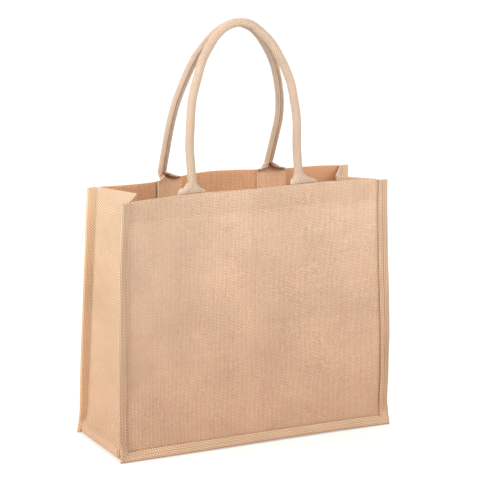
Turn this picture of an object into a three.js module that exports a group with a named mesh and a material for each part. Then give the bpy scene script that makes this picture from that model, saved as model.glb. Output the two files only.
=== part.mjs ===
import * as THREE from 'three';

// A jute shopping bag with two rolled cotton handles, standing open and empty.
// Millimetres, +Z up. The origin is on the ground, under the middle of the base.
// The front panel faces -Y. FRONT and BACK are also the sign of each side's Y.

const FRONT = -1;
const BACK = 1;
const LEFT = -1;
const RIGHT = 1;

// Cloth
const JUTE = 1.4; // thickness of one layer of jute
const WEBBING = 1.8; // thickness of the cotton webbing of the handles
const GAP = 0.4; // clearance between two pieces

// Fins: each long edge of the gusset is folded round a panel's edge, and stands out as a flat fin
const FIN = 14.4; // from the seam at a fin's root to its folded outer edge
const BASE_SPLAY = 32; // degrees that the fins lean out, away from the middle of the bag, at the base
const FOLD_OUTER = 1.5 * JUTE + GAP; // radius where a fin's cloth turns round a panel's edge, outside
const FOLD_INNER = JUTE / 2 + GAP; // and inside
const FOLD_AT = FIN - FOLD_OUTER; // from the root to the middle of that turn
const PANEL_IN_FIN = FOLD_AT - 0.9; // how far a panel's edge reaches into its fin
const MID_FIN = 6; // a bend line between the root and the turn
const FIN_START = 0.7; // from the seam to the fin's turned edge, on the panel's outer face
const TURNED_AT = 2.4; // from the seam to where the raw edge turned under makes the fin thickest
const TURNED_EDGE = 0.8; // extra thickness there
const TURNED_START = 0.6; // share of that extra thickness at the turned edge itself
const FIN_END = 1.5; // from the seam to where the fin's other layer leaves for the wall
const TURN_ANGLES = [90, 40, -10, -90]; // degrees at which the turn round the panel's edge has points

// Seam lines, where the fins meet the panels
const FOOT = FOLD_AT * cosine(BASE_SPLAY) + FOLD_OUTER; // height of the seam along the base
const CORNER = FOOT + 3; // the sides' seams start to lean in, and their fins to twist, at this height
const RIM = 336; // height of the mouth at the corners
const BASE_HALF_WIDTH = 187;
const MOUTH_HALF_WIDTH = 180;
const BASE_HALF_DEPTH = 64;
const MOUTH_HALF_DEPTH = 50.7;

const HEM = 30; // depth of the hem round the mouth
const HEM_STEP = 1; // height in which the cloth goes from one layer to two
const HEM_CLEAR_OF_SEAM = 5; // the hem's second layer stops this far from a seam

// The side fins, by height: how far each leans out, in degrees, its share of the full width, and how
// far its seam stands outside the straight line from the base to the mouth
const SIDE_FINS = {
  frontLeft: [
    { height: CORNER, lean: BASE_SPLAY, width: 0.74, out: 1.5 },
    { height: 29, lean: 7, width: 0.86, out: 1.6 },
    { height: 60, lean: 4, width: 0.875, out: 1.8 },
    { height: 130, lean: 6, width: 0.85, out: 2.2 },
    { height: 200, lean: 10, width: 0.83, out: 2.4 },
    { height: 240, lean: 12, width: 0.79, out: 3 },
    { height: 300, lean: 21, width: 0.81, out: 2.6 },
    { height: RIM, lean: 26, width: 0.91, out: 1.2 },
  ],
  frontRight: [
    { height: CORNER, lean: BASE_SPLAY, width: 0.84, out: -1 },
    { height: 29, lean: 0, width: 1, out: -2.5 },
    { height: 48, lean: 2, width: 1, out: -1.9 },
    { height: 66, lean: 4, width: 0.97, out: -0.4 },
    { height: 90, lean: 6, width: 0.99, out: 0 },
    { height: 130, lean: 16, width: 0.99, out: 1 },
    { height: 180, lean: 18, width: 1.02, out: 0.2 },
    { height: 240, lean: 12, width: 1.05, out: -1.1 },
    { height: 290, lean: 12, width: 1.04, out: -1.2 },
    { height: RIM, lean: 12, width: 0.98, out: 0 },
  ],
  back: [
    { height: CORNER, lean: BASE_SPLAY, width: 0.82, out: 0 },
    { height: 29, lean: 8, width: 0.79, out: 0 },
    { height: 60, lean: 5, width: 0.86, out: 0 },
    { height: 100, lean: 3, width: 0.93, out: 0 },
    { height: 240, lean: 3, width: 0.97, out: 0 },
    { height: RIM, lean: 3, width: 0.98, out: 0 },
  ],
};

// The fins along the base, from left to right: the same, where outside means below the straight line
const BASE_FINS = {
  front: [
    { x: -187, width: 0.86, out: 1.4 },
    { x: -158, width: 0.91, out: 0.4 },
    { x: -120, width: 0.93, out: 0 },
    { x: -60, width: 0.9, out: 0 },
    { x: 40, width: 0.85, out: 0 },
    { x: 110, width: 0.86, out: 0 },
    { x: 158, width: 0.91, out: 0.3 },
    { x: 187, width: 0.9, out: 1 },
  ],
  back: [
    { x: -187, width: 1, out: 0 },
    { x: 187, width: 1, out: 0 },
  ],
};
const SIDE_EASE = 0.2; // share of a side wall over which it eases out to a seam that stands outside
const BASE_EASE = 0.06; // the same on the base
const PANEL_EASE = 4; // power with which a panel's cloth eases out to it

// The mouth's wavy edge: how far each place along the rim stands out of the straight line between the
// seams (inwards is negative), and how far above RIM
const FRONT_RIM = [
  { x: -180, out: 0, up: 0 },
  { x: -150, out: -3, up: 0.6 },
  { x: -112, out: -6.5, up: 1.1 },
  { x: -75, out: -9.5, up: 1.2 },
  { x: -40, out: -6, up: 1.2 },
  { x: 0, out: -3.5, up: 1.2 },
  { x: 50, out: -5.5, up: 1.2 },
  { x: 95, out: -8.5, up: 1.2 },
  { x: 130, out: -6, up: 1 },
  { x: 158, out: -5, up: 0.6 },
  { x: 180, out: 0, up: 0 },
];
const BACK_RIM = [
  { x: -180, out: 0, up: 0 },
  { x: -150, out: -3.5, up: 0 },
  { x: -115, out: -5.5, up: 0.4 },
  { x: -95, out: -2.5, up: 0.7 },
  { x: -57, out: 10.5, up: 1.4 },
  { x: -30, out: 18, up: 2.2 },
  { x: -5, out: 20.5, up: 2.6 },
  { x: 22, out: 18.5, up: 2.2 },
  { x: 58, out: 11, up: 1.5 },
  { x: 98, out: 4.5, up: 1 },
  { x: 135, out: 4, up: 1 },
  { x: 180, out: 0, up: 0 },
];
const RIM_WAVE_FADE = 1.6; // power with which the rim's waves die out towards the base
const RIM_RISE_FADE = 4; // the same for its rise above RIM

// Soft swells and hollows of the panels: place, depth (outwards is positive) and spread
const FRONT_SWELLS = [
  { x: -95, z: 235, out: -2.2, wide: 55, high: 60 },
  { x: 70, z: 215, out: 1.6, wide: 90, high: 50 },
  { x: 20, z: 95, out: -2.4, wide: 120, high: 40 },
  { x: -110, z: 60, out: 1.8, wide: 60, high: 40 },
  { x: 130, z: 130, out: 1.2, wide: 40, high: 70 },
];
const BACK_SWELLS = [
  { x: 90, z: 220, out: -2.5, wide: 70, high: 60 },
  { x: -60, z: 150, out: 2.2, wide: 90, high: 70 },
  { x: 30, z: 60, out: -1.6, wide: 100, high: 35 },
];

const SWELL_TO_SIDE = 8; // power with which the swells die out towards the side seams
const SWELL_TO_BASE = 9; // rate at which they grow from the base upwards

// Gusset: the side walls fold inwards at the mouth, and flare out over the last stretch above the base
const SIDE_FOLD = {
  [LEFT]: { inwards: 29, along: 0.43 }, // depth of the fold at the mouth, and its place from the front seam
  [RIGHT]: { inwards: 39, along: 0.4 },
};
const FOLD_FADE = 0.6; // power with which the fold dies out towards the base
const SEAM_FLAT = 0.03; // share of a wall, next to each seam, that stays in line with it
const BASE_EDGE = 0.055; // share of a wall, next to each seam, over which the base comes down to the ground
const BASE_ROUNDING = 9; // radius of the soft edge between the base and a side
const DROP = FOOT - JUTE / 2; // from the seam along the base down to the middle of the base's cloth
const FLARE_HEIGHT = 10; // height over which a side wall flares out to meet the base
const FLARE_POWER = 1.3;

// Handles: webbing sewn flat inside each hem and rolled to a round grip above the rim, with its two
// edges turned in
const TAB_WIDTH = 40;
const TAB_BELOW_RIM = 34;
const GRIP = 11.6; // outer diameter of the rolled grip
const GRIP_RADIUS = (GRIP - WEBBING) / 2; // of the middle of its cloth
const EDGE_RADIUS = 1.3; // of the middle of the cloth, where each edge turns into the grip
const EDGE_GAP = 0.35; // between the two turned edges
const THROAT_SHARES = [0.2, 0.4, 0.6, 0.8, 1]; // how rolled up the webbing is on its way from tab to grip
const HANDLES = [
  {
    name: 'handle_front', side: FRONT, swells: FRONT_SWELLS, topDepth: -7.3,
    tabs: { left: -88, right: 73 }, flatTop: -10, throat: 20,
    line: [
      { x: -84.5, z: 347 }, { x: -85.3, z: 372 }, { x: -86, z: 394 }, { x: -83.3, z: 424 },
      { x: -79.3, z: 454 }, { x: -69.4, z: 485 }, { x: -62, z: 504 }, { x: -53.4, z: 518 },
      { x: -40.5, z: 534 }, { x: -25, z: 545 }, { x: -7, z: 548.8 }, { x: 10.5, z: 544.5 },
      { x: 21.5, z: 536.5 }, { x: 30.5, z: 528.5 }, { x: 39.5, z: 518 }, { x: 47, z: 505.5 },
      { x: 53.9, z: 492.5 }, { x: 59.4, z: 479.5 }, { x: 64, z: 466 }, { x: 67, z: 448 },
      { x: 69.4, z: 430 }, { x: 70.2, z: 412 }, { x: 69.5, z: 390 }, { x: 70, z: 370 },
      { x: 71, z: 347 },
    ],
  },
  {
    name: 'handle_back', side: BACK, swells: BACK_SWELLS, topDepth: 7.3,
    tabs: { left: -76, right: 77 }, flatTop: 2, throat: 8,
    line: [
      { x: -89.6, z: 347 }, { x: -88.4, z: 365 }, { x: -86.9, z: 384 }, { x: -85.5, z: 402 },
      { x: -82.8, z: 424 }, { x: -79, z: 444 }, { x: -73.7, z: 462 }, { x: -64, z: 489 },
      { x: -58, z: 501.5 }, { x: -49.7, z: 514 }, { x: -41, z: 525 }, { x: -26, z: 538.5 },
      { x: -4, z: 546.5 }, { x: 16, z: 540.5 }, { x: 28.8, z: 530.5 }, { x: 41.5, z: 515.4 },
      { x: 51.7, z: 500.5 }, { x: 59.6, z: 486 }, { x: 65.2, z: 471.5 }, { x: 69.7, z: 457 },
      { x: 73.6, z: 441 }, { x: 76, z: 423 }, { x: 76.3, z: 408 }, { x: 74.4, z: 390 },
      { x: 72.3, z: 372 }, { x: 69.2, z: 347 },
    ],
  },
];

// Fineness of the solids
const PANEL_COLUMNS = 22;
const HEIGHTS = [CORNER, 18.5, 21.5, 25, 29, 42, 66, 105, 155, 210, 265];
const BASE_END = 184; // where the base's straight part ends, just inside the mitres
const BASE_STATIONS = [-BASE_END, -158, -120, -60, 0, 60, 120, 158, BASE_END];
const WALL_SHARES = [0.03, 0.06, 0.11, 0.22, 0.33, 0.42, 0.52, 0.66, 0.8, 0.89, 0.94, 0.97];
const GRIP_STATIONS = 27;
const ROLL_STEPS = { round: 4, turn: 3, flat: 1 }; // of each half of the rolled webbing's section
const CROWDING = 0.09; // draws the grip's stations together at its top

const lerp = THREE.MathUtils.lerp;

function cosine(degrees) {
  return Math.cos(THREE.MathUtils.degToRad(degrees));
}

function sine(degrees) {
  return Math.sin(THREE.MathUtils.degToRad(degrees));
}

function ease(share) {
  return THREE.MathUtils.smoothstep(share, 0, 1);
}

// A smooth curve through one column of a table, read at any value of another column. It turns only at
// the table's own peaks and hollows.
function column(rows, key, name) {
  const rise = (i) => (rows[i + 1][name] - rows[i][name]) / (rows[i + 1][key] - rows[i][key]);
  const slope = (i) => {
    if (i === 0) return rise(0);
    if (i === rows.length - 1) return rise(i - 1);
    const product = rise(i - 1) * rise(i);
    return product > 0 ? (2 * product) / (rise(i - 1) + rise(i)) : 0;
  };
  return (value) => {
    const at = THREE.MathUtils.clamp(value, rows[0][key], rows[rows.length - 1][key]);
    let i = 0;
    while (i < rows.length - 2 && at > rows[i + 1][key]) i += 1;
    const width = rows[i + 1][key] - rows[i][key];
    const t = (at - rows[i][key]) / width;
    const bend = (1 - t) * t * width;
    return (
      lerp(rows[i][name], rows[i + 1][name], t * t * (3 - 2 * t)) +
      bend * ((1 - t) * slope(i) - t * slope(i + 1))
    );
  };
}

const RIM_CURVES = {
  [FRONT]: { out: column(FRONT_RIM, 'x', 'out'), up: column(FRONT_RIM, 'x', 'up') },
  [BACK]: { out: column(BACK_RIM, 'x', 'out'), up: column(BACK_RIM, 'x', 'up') },
};
const FIN_CURVES = Object.fromEntries(Object.entries(SIDE_FINS).map(([name, rows]) => [name, {
  lean: column(rows, 'height', 'lean'),
  width: column(rows, 'height', 'width'),
  out: column(rows, 'height', 'out'),
}]));
const BASE_FIN_CURVES = Object.fromEntries(Object.entries(BASE_FINS).map(([name, rows]) => [name, {
  width: column(rows, 'x', 'width'),
  out: column(rows, 'x', 'out'),
}]));

// Share of the way up from the base's corners to the rim
function risen(z) {
  return Math.max(z - CORNER, 0) / (RIM - CORNER);
}

function seamX(z) {
  return lerp(BASE_HALF_WIDTH, MOUTH_HALF_WIDTH, risen(z));
}

function seamY(z) {
  return lerp(BASE_HALF_DEPTH, MOUTH_HALF_DEPTH, risen(z));
}

function sideFin(side, hand, z) {
  const name = side === BACK ? 'back' : hand === LEFT ? 'frontLeft' : 'frontRight';
  const { lean, width, out } = FIN_CURVES[name];
  return { lean: lean(z), width: width(z), out: out(z) };
}

function baseFin(side, x) {
  const { width, out } = BASE_FIN_CURVES[side === BACK ? 'back' : 'front'];
  return { lean: BASE_SPLAY, width: width(x), out: out(x) };
}

// The side fin round a bottom corner, at a place inside it: it changes towards the mitre
function cornerFin(side, hand, reach, below) {
  const mitre = baseFin(side, hand * BASE_HALF_WIDTH);
  if (below >= reach) return mitre;
  const drop = (down) => CORNER - FOOT + mitre.out + down * mitre.width * cosine(BASE_SPLAY);
  const share = drop(below) / drop(reach);
  const start = sideFin(side, hand, CORNER);
  return {
    lean: BASE_SPLAY,
    width: lerp(start.width, mitre.width, share),
    out: lerp(start.out, mitre.out, share),
  };
}

// Y of the middle of a panel's cloth, between the seams
function panelY(side, swells, x, z) {
  const across = x / seamX(z);
  const up = risen(z);
  const wave = RIM_CURVES[side].out(across * MOUTH_HALF_WIDTH) * up ** RIM_WAVE_FADE;
  const held = Math.max(1 - across ** SWELL_TO_SIDE, 0) * (1 - Math.exp(-SWELL_TO_BASE * up));
  const swell = swells.reduce(
    (sum, s) => sum + s.out * Math.exp(-(((x - s.x) / s.wide) ** 2) - ((z - s.z) / s.high) ** 2),
    0,
  );
  return side * (seamY(z) + wave + swell * held);
}

// The rim's own rise, fading out below it
function lifted(side, x, z) {
  const share = risen(z) ** RIM_RISE_FADE;
  return z + RIM_CURVES[side].up((x / seamX(z)) * MOUTH_HALF_WIDTH) * share;
}

// A closed solid of sheet: rows of pairs of points, one on each face of the cloth.
// turnDiagonal says which of a quad's two diagonals to use.
function sheetSolid(rows, turnDiagonal = () => false) {
  const across = rows[0].length;
  const positions = rows.flat().flatMap((pair) => [...pair.outer.toArray(), ...pair.inner.toArray()]);
  const outer = (j, i) => 2 * (j * across + i);
  const inner = (j, i) => outer(j, i) + 1;
  const faces = [];
  const quad = (a, b, c, d, turned) => {
    faces.push(...(turned ? [a, b, d, b, c, d] : [a, b, c, a, c, d]));
  };
  for (let j = 0; j < rows.length - 1; j += 1) {
    for (let i = 0; i < across - 1; i += 1) {
      const turned = turnDiagonal(j, i);
      quad(outer(j, i), outer(j, i + 1), outer(j + 1, i + 1), outer(j + 1, i), turned);
      quad(inner(j, i + 1), inner(j, i), inner(j + 1, i), inner(j + 1, i + 1), !turned);
    }
    quad(inner(j, 0), outer(j, 0), outer(j + 1, 0), inner(j + 1, 0));
    const last = across - 1;
    quad(outer(j, last), inner(j, last), inner(j + 1, last), outer(j + 1, last));
  }
  for (let i = 0; i < across - 1; i += 1) {
    const last = rows.length - 1;
    quad(outer(0, i + 1), outer(0, i), inner(0, i), inner(0, i + 1));
    quad(outer(last, i), outer(last, i + 1), inner(last, i + 1), inner(last, i));
  }
  const geometry = new THREE.BufferGeometry();
  geometry.setAttribute('position', new THREE.Float32BufferAttribute(positions, 3));
  geometry.setIndex(signedVolume(positions, faces) > 0 ? faces : faces.reverse());
  geometry.computeVertexNormals();
  return geometry;
}

function signedVolume(positions, faces) {
  let volume = 0;
  const corner = (k) => new THREE.Vector3().fromArray(positions, 3 * faces[k]);
  for (let k = 0; k < faces.length; k += 3) {
    volume += corner(k).dot(corner(k + 1).cross(corner(k + 2))) / 6;
  }
  return volume;
}

// Panels: a flat margin in the fin on three edges, and a hem of two layers at the top
function panel(side, swells) {
  const margin = [PANEL_IN_FIN, MID_FIN, 0];
  const hemX = MOUTH_HALF_WIDTH - HEM_CLEAR_OF_SEAM;
  const columns = [
    ...margin.map((reach) => ({ hand: LEFT, reach, share: -1 })),
    ...Array.from({ length: PANEL_COLUMNS + 1 }, (_, i) => {
      return { hand: 0, reach: 0, share: (lerp(-1, 1, i / PANEL_COLUMNS) * hemX) / MOUTH_HALF_WIDTH };
    }),
    ...margin.map((reach) => ({ hand: RIGHT, reach, share: 1 })).reverse(),
  ];
  const heights = [
    ...margin.map((reach) => ({ z: FOOT, below: reach, layers: 1 })),
    ...HEIGHTS.map((z) => ({ z, below: 0, layers: 1 })),
    { z: RIM - HEM, below: 0, layers: 1 },
    { z: RIM - HEM + HEM_STEP, below: 0, layers: 2 },
    { z: RIM - HEM / 2, below: 0, layers: 2 },
    { z: RIM, below: 0, layers: 2 },
  ];
  const rows = heights.map(({ z, below, layers }) => columns.map(({ hand, reach, share }) => {
    const nearest = share < 0 ? LEFT : RIGHT;
    const fin = z < CORNER ? cornerFin(side, nearest, reach, below) : sideFin(side, nearest, z);
    const base = baseFin(side, share * BASE_HALF_WIDTH);
    const out = nearest * fin.out * Math.abs(share) ** PANEL_EASE;
    const x = share * seamX(z) + out + hand * reach * fin.width * cosine(fin.lean);
    const drop = z < CORNER ? base.out + below * base.width * cosine(BASE_SPLAY) : 0;
    const stand = below > reach
      ? below * base.width * sine(BASE_SPLAY)
      : reach * fin.width * sine(fin.lean);
    const y = hand || below ? side * (seamY(z) + stand) : panelY(side, swells, x, z);
    const height = (hand ? z : lifted(side, x, z)) - drop;
    const behind = (hand ? 1 : layers) - 0.5;
    return {
      outer: new THREE.Vector3(x, y + side * JUTE / 2, height),
      inner: new THREE.Vector3(x, y - side * JUTE * behind, height),
    };
  }));
  const onRight = (j, i) => i >= columns.length / 2;
  return sheetSolid(rows, onRight);
}

// One fin in cross-section, from the turned edge on the panel's outer face, round the fold, to the
// seam: distances from the seam along the fin, and from the fin's middle plane outwards
function finSection(width = 1) {
  const bend = MID_FIN * width;
  const fold = FOLD_AT * width;
  return [
    { outer: [FIN_START, FOLD_OUTER + TURNED_START * TURNED_EDGE], inner: [FIN_START, FOLD_INNER] },
    { outer: [TURNED_AT, FOLD_OUTER + TURNED_EDGE], inner: [TURNED_AT, FOLD_INNER] },
    { outer: [bend, FOLD_OUTER], inner: [bend, FOLD_INNER] },
    ...TURN_ANGLES.map((angle) => ({
      outer: [fold + FOLD_OUTER * cosine(angle), FOLD_OUTER * sine(angle)],
      inner: [fold + FOLD_INNER * cosine(angle), FOLD_INNER * sine(angle)],
    })),
    { outer: [bend, -FOLD_OUTER], inner: [bend, -FOLD_INNER] },
    { outer: [FIN_END, -FOLD_OUTER], inner: [FIN_END, -FOLD_INNER] },
  ];
}

// The same in the gusset's own section, where n points away from the bag's middle
function placedFin(side, { lean, width, out }, seam) {
  const place = ([along, off]) => new THREE.Vector2(
    out + along * cosine(lean) - off * sine(lean),
    side * (seam + along * sine(lean) + off * cosine(lean)),
  );
  return finSection(width).map((pair) => ({ outer: place(pair.outer), inner: place(pair.inner) }));
}

// How far a wall stands inside the line between its two seams, from 0 to 1 at the fold
function foldShape(share, tip, sharpness) {
  const near = share < tip ? share : 1 - share;
  const reach = share < tip ? tip : 1 - tip;
  const u = THREE.MathUtils.clamp((near - SEAM_FLAT) / (reach - SEAM_FLAT), 0, 1);
  return lerp(Math.sin((u * Math.PI) / 2), u, sharpness);
}

function wallSection(station) {
  const { seam, fold, tip, sharpness, flare, layers, easing, frontFin, backFin } = station;
  const near = (distance) => Math.max(1 - distance / easing, 0) ** 2;
  const middle = WALL_SHARES.map((share) => new THREE.Vector2(
    frontFin.out * near(share) + backFin.out * near(1 - share) +
      flare * ease(Math.min(share, 1 - share) / BASE_EDGE) - fold * foldShape(share, tip, sharpness),
    lerp(-seam, seam, share),
  ));
  return middle.map((point, i) => {
    const before = middle[Math.max(i - 1, 0)];
    const after = middle[Math.min(i + 1, middle.length - 1)];
    const along = after.clone().sub(before).normalize();
    const outwards = new THREE.Vector2(along.y, -along.x);
    const nextToSeam = i === 0 || i === middle.length - 1;
    const behind = (nextToSeam ? 1 : layers) - 0.5;
    return {
      outer: point.clone().addScaledVector(outwards, JUTE / 2),
      inner: point.clone().addScaledVector(outwards, -JUTE * behind),
    };
  });
}

// One cross-section of the gusset, from the front panel's face round to the back panel's
function gussetSection(station) {
  const { x, z, away, stretch, seam, frontFin, backFin } = station;
  const place = (point) => new THREE.Vector3(
    x + away.x * point.x * stretch,
    point.y,
    z + away.y * point.x * stretch,
  );
  return [
    ...placedFin(FRONT, frontFin, seam),
    ...wallSection(station),
    ...placedFin(BACK, backFin, seam).reverse(),
  ].map((pair) => ({ outer: place(pair.outer), inner: place(pair.inner) }));
}

function sideStation(hand, z, layers) {
  const up = risen(z);
  return {
    x: hand * seamX(z), z, away: new THREE.Vector2(hand, 0), stretch: 1, seam: seamY(z),
    frontFin: sideFin(FRONT, hand, z), backFin: sideFin(BACK, hand, z), easing: SIDE_EASE,
    fold: SIDE_FOLD[hand].inwards * up ** FOLD_FADE, tip: SIDE_FOLD[hand].along, sharpness: up * up,
    flare: DROP * Math.exp(-(((z - FOOT) / FLARE_HEIGHT) ** FLARE_POWER)), layers,
  };
}

// A station across the base, or along the mitre at one of its ends
function baseStation(x, away, stretch, flare = DROP) {
  return {
    x, z: FOOT, away, stretch, flare, seam: BASE_HALF_DEPTH,
    frontFin: baseFin(FRONT, x), backFin: baseFin(BACK, x), easing: BASE_EASE,
    fold: 0, tip: 0.5, sharpness: 0, layers: 1,
  };
}

function gusset() {
  const side = (hand) => [
    ...HEIGHTS.map((z) => sideStation(hand, z, 1)),
    sideStation(hand, RIM - HEM, 1),
    sideStation(hand, RIM - HEM + HEM_STEP, 2),
    sideStation(hand, RIM - HEM / 2, 2),
    sideStation(hand, RIM, 2),
  ];
  const mitre = (hand) => {
    const away = new THREE.Vector2(hand, -1).normalize();
    const flare = DROP - BASE_ROUNDING * (1 - Math.SQRT1_2);
    return baseStation(hand * BASE_HALF_WIDTH, away, Math.SQRT2, flare);
  };
  const stations = [
    ...side(LEFT).reverse(),
    mitre(LEFT),
    ...BASE_STATIONS.map((x) => baseStation(x, new THREE.Vector2(0, -1), 1)),
    mitre(RIGHT),
    ...side(RIGHT),
  ];
  const rows = stations.map(gussetSection);
  const fold = Math.floor(finSection().length / 2);
  const wall = finSection().length;
  const last = rows[0].length - 1;
  const onWayIn = (i) => (i >= fold && i < wall) || i >= last - fold;
  return sheetSolid(rows, (j, i) => onWayIn(i) !== (j >= stations.length / 2));
}

// Webbing rolled up, from 0 for flat to 1 for a closed grip: places across the handle, and away from the
// webbing's middle line towards the seam of the roll. Each half of the webbing is an arc of the grip, a
// tight turn and a flat edge that ends up inside the grip.
function rolledSection(roll) {
  const seam = (WEBBING + EDGE_GAP) / 2 + EDGE_RADIUS;
  const open = Math.asin(seam / (GRIP_RADIUS - EDGE_RADIUS));
  const arc = Math.PI - open;
  const turn = Math.PI / 2 + open;
  const flat = TAB_WIDTH / 2 - arc * GRIP_RADIUS - turn * EDGE_RADIUS;
  const bends = [
    { steps: ROLL_STEPS.round, length: arc * GRIP_RADIUS, angle: arc },
    { steps: ROLL_STEPS.turn, length: turn * EDGE_RADIUS, angle: turn },
    { steps: ROLL_STEPS.flat, length: flat, angle: 0 },
  ];
  const half = [{ across: 0, off: 0, heading: 0 }];
  for (const { steps, length, angle } of bends) {
    for (let k = 0; k < steps; k += 1) {
      const { across, off, heading } = half[half.length - 1];
      const bend = (angle * roll) / steps;
      const chord = (length / steps) * (bend ? Math.sin(bend / 2) / (bend / 2) : 1);
      half.push({
        across: across + chord * Math.cos(heading + bend / 2),
        off: off + chord * Math.sin(heading + bend / 2),
        heading: heading + bend,
      });
    }
  }
  const mirrored = half.slice(1).reverse().map(({ across, off, heading }) => {
    return { across: -across, off, heading: -heading };
  });
  const face = ({ across, off, heading }, outwards) => ({
    across: across + outwards * Math.sin(heading),
    off: off - outwards * Math.cos(heading),
  });
  return [...mirrored, ...half].map((point) => {
    return { outer: face(point, WEBBING / 2), inner: face(point, -WEBBING / 2) };
  });
}

// Y of the middle of a tab's webbing, which lies on the hem inside its panel
function tabY(handle, x, z) {
  const off = 1.5 * JUTE + GAP + WEBBING / 2;
  return panelY(handle.side, handle.swells, x, z) - handle.side * off;
}

// The flat tab and the throat at one end of a handle, from the tab's lower edge upwards
function handleEnd(handle, hand) {
  const tab = hand === LEFT ? handle.tabs.left : handle.tabs.right;
  const foot = hand === LEFT ? handle.line[0] : handle.line[handle.line.length - 1];
  const rim = lifted(handle.side, tab, RIM);
  const place = (z, x, roll) => {
    const slope = (tabY(handle, tab + 1, RIM) - tabY(handle, tab - 1, RIM)) / 2;
    const across = new THREE.Vector3(1, slope * (1 - roll), 0).normalize().multiplyScalar(hand);
    const inwards = new THREE.Vector3(across.y, -across.x, 0).multiplyScalar(hand * handle.side);
    const point = (part) => {
      if (roll === 0) {
        const px = x + hand * part.across;
        return new THREE.Vector3(px, tabY(handle, px, z) - handle.side * part.off, z);
      }
      return new THREE.Vector3(x, tabY(handle, tab, RIM), z)
        .addScaledVector(across, part.across)
        .addScaledVector(inwards, part.off);
    };
    return rolledSection(roll).map((pair) => ({ outer: point(pair.outer), inner: point(pair.inner) }));
  };
  const flat = [-TAB_BELOW_RIM, -TAB_BELOW_RIM / 2, handle.flatTop].map((above) => {
    return place(rim + above, tab, 0);
  });
  const throat = THROAT_SHARES.map((share) => {
    const up = handle.flatTop + share * handle.throat;
    return place(rim + up, lerp(tab, foot.x, ease(share)), ease(share));
  });
  return [...flat, ...throat];
}

// The rolled grip between the throats
function grip(handle) {
  const tallest = Math.max(...handle.line.map((point) => point.z));
  const lowest = handle.line[0].z;
  const points = handle.line.map(({ x, z }) => {
    const tab = x < 0 ? handle.tabs.left : handle.tabs.right;
    const start = tabY(handle, tab, RIM) - handle.side * GRIP_RADIUS;
    return new THREE.Vector3(x, lerp(start, handle.topDepth, (z - lowest) / (tallest - lowest)), z);
  });
  const line = new THREE.CatmullRomCurve3(points, false, 'centripetal');
  const section = rolledSection(1);
  return Array.from({ length: GRIP_STATIONS }, (_, k) => {
    const even = k / (GRIP_STATIONS - 1);
    const share = even + CROWDING * Math.sin(2 * Math.PI * even);
    const centre = line.getPointAt(share);
    const along = line.getTangentAt(share);
    const inwards = new THREE.Vector3(0, -handle.side, 0);
    inwards.addScaledVector(along, -inwards.dot(along)).normalize();
    const across = along.clone().cross(inwards).multiplyScalar(-handle.side);
    const point = (part) => centre.clone()
      .addScaledVector(across, part.across)
      .addScaledVector(inwards, part.off - GRIP_RADIUS);
    return section.map((pair) => ({ outer: point(pair.outer), inner: point(pair.inner) }));
  });
}

function handleSolid(handle) {
  return sheetSolid([
    ...handleEnd(handle, LEFT),
    ...grip(handle),
    ...handleEnd(handle, RIGHT).reverse(),
  ]);
}

const juteCloth = new THREE.MeshStandardMaterial({ color: '#dcb893', roughness: 0.95, metalness: 0 });
const sideCloth = new THREE.MeshStandardMaterial({ color: '#e6c49d', roughness: 0.95, metalness: 0 });
const cotton = new THREE.MeshStandardMaterial({ color: '#ead3b8', roughness: 0.9, metalness: 0 });

const bag = new THREE.Group();
bag.name = 'shopping_bag';

function addPiece(name, geometry, material) {
  const mesh = new THREE.Mesh(geometry, material);
  mesh.name = name;
  bag.add(mesh);
}

addPiece('front_panel', panel(FRONT, FRONT_SWELLS), juteCloth);
addPiece('back_panel', panel(BACK, BACK_SWELLS), juteCloth);
addPiece('gusset', gusset(), sideCloth);
for (const handle of HANDLES) {
  addPiece(handle.name, handleSolid(handle), cotton);
}

export default bag;
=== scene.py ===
# %% [markdown]
# # A jute shopping bag with rolled cotton handles
#
# The real bag is sewn from five flat pieces: a front and a back panel of jute, one long strip of
# jute that makes both sides and the base, and two lengths of cotton webbing. This lesson lays the
# same five pieces out as thin sheets, gives each its thickness, then adds the thread and the fuzz.
#
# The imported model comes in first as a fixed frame. Its solids stay for weighing and bumping into;
# the sheets made here stand in for their looks, so each one takes the place of its solid.

# %% Load the frame
import math
import random
from functools import partial

import bmesh
import bpy
from mathutils import Matrix, Vector, noise


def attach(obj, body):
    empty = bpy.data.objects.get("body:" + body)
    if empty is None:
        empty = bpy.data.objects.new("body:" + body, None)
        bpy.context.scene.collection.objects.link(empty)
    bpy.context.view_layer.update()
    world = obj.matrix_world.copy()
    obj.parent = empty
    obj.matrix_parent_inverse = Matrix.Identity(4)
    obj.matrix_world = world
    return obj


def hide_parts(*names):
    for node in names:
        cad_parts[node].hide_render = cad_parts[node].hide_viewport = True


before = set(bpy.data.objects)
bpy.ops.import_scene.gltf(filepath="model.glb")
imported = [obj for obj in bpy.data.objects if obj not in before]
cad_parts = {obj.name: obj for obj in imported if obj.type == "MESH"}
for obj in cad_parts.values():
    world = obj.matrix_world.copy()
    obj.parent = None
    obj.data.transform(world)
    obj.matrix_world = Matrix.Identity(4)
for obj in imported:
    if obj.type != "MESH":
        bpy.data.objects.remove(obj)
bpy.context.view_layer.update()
print("nodes of the frame:", sorted(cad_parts))

# %% [markdown]
# ## The camera
#
# The bag is seen from its front left, from a little above, through a long lens. The numbers were
# found by laying the solids over the photograph. The camera is turned by a matrix whose columns are
# its own right, up and backwards directions, because that leaves no doubt about the slight roll.

# %% Camera
AIM = Vector((0.003, 0.0, 0.2592))
AZIMUTH = math.radians(-27.5)
ELEVATION = math.radians(13.6)
ROLL = math.radians(1.0)
DISTANCE = 3.024
LENS = 172.5
SENSOR = 36.0

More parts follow.
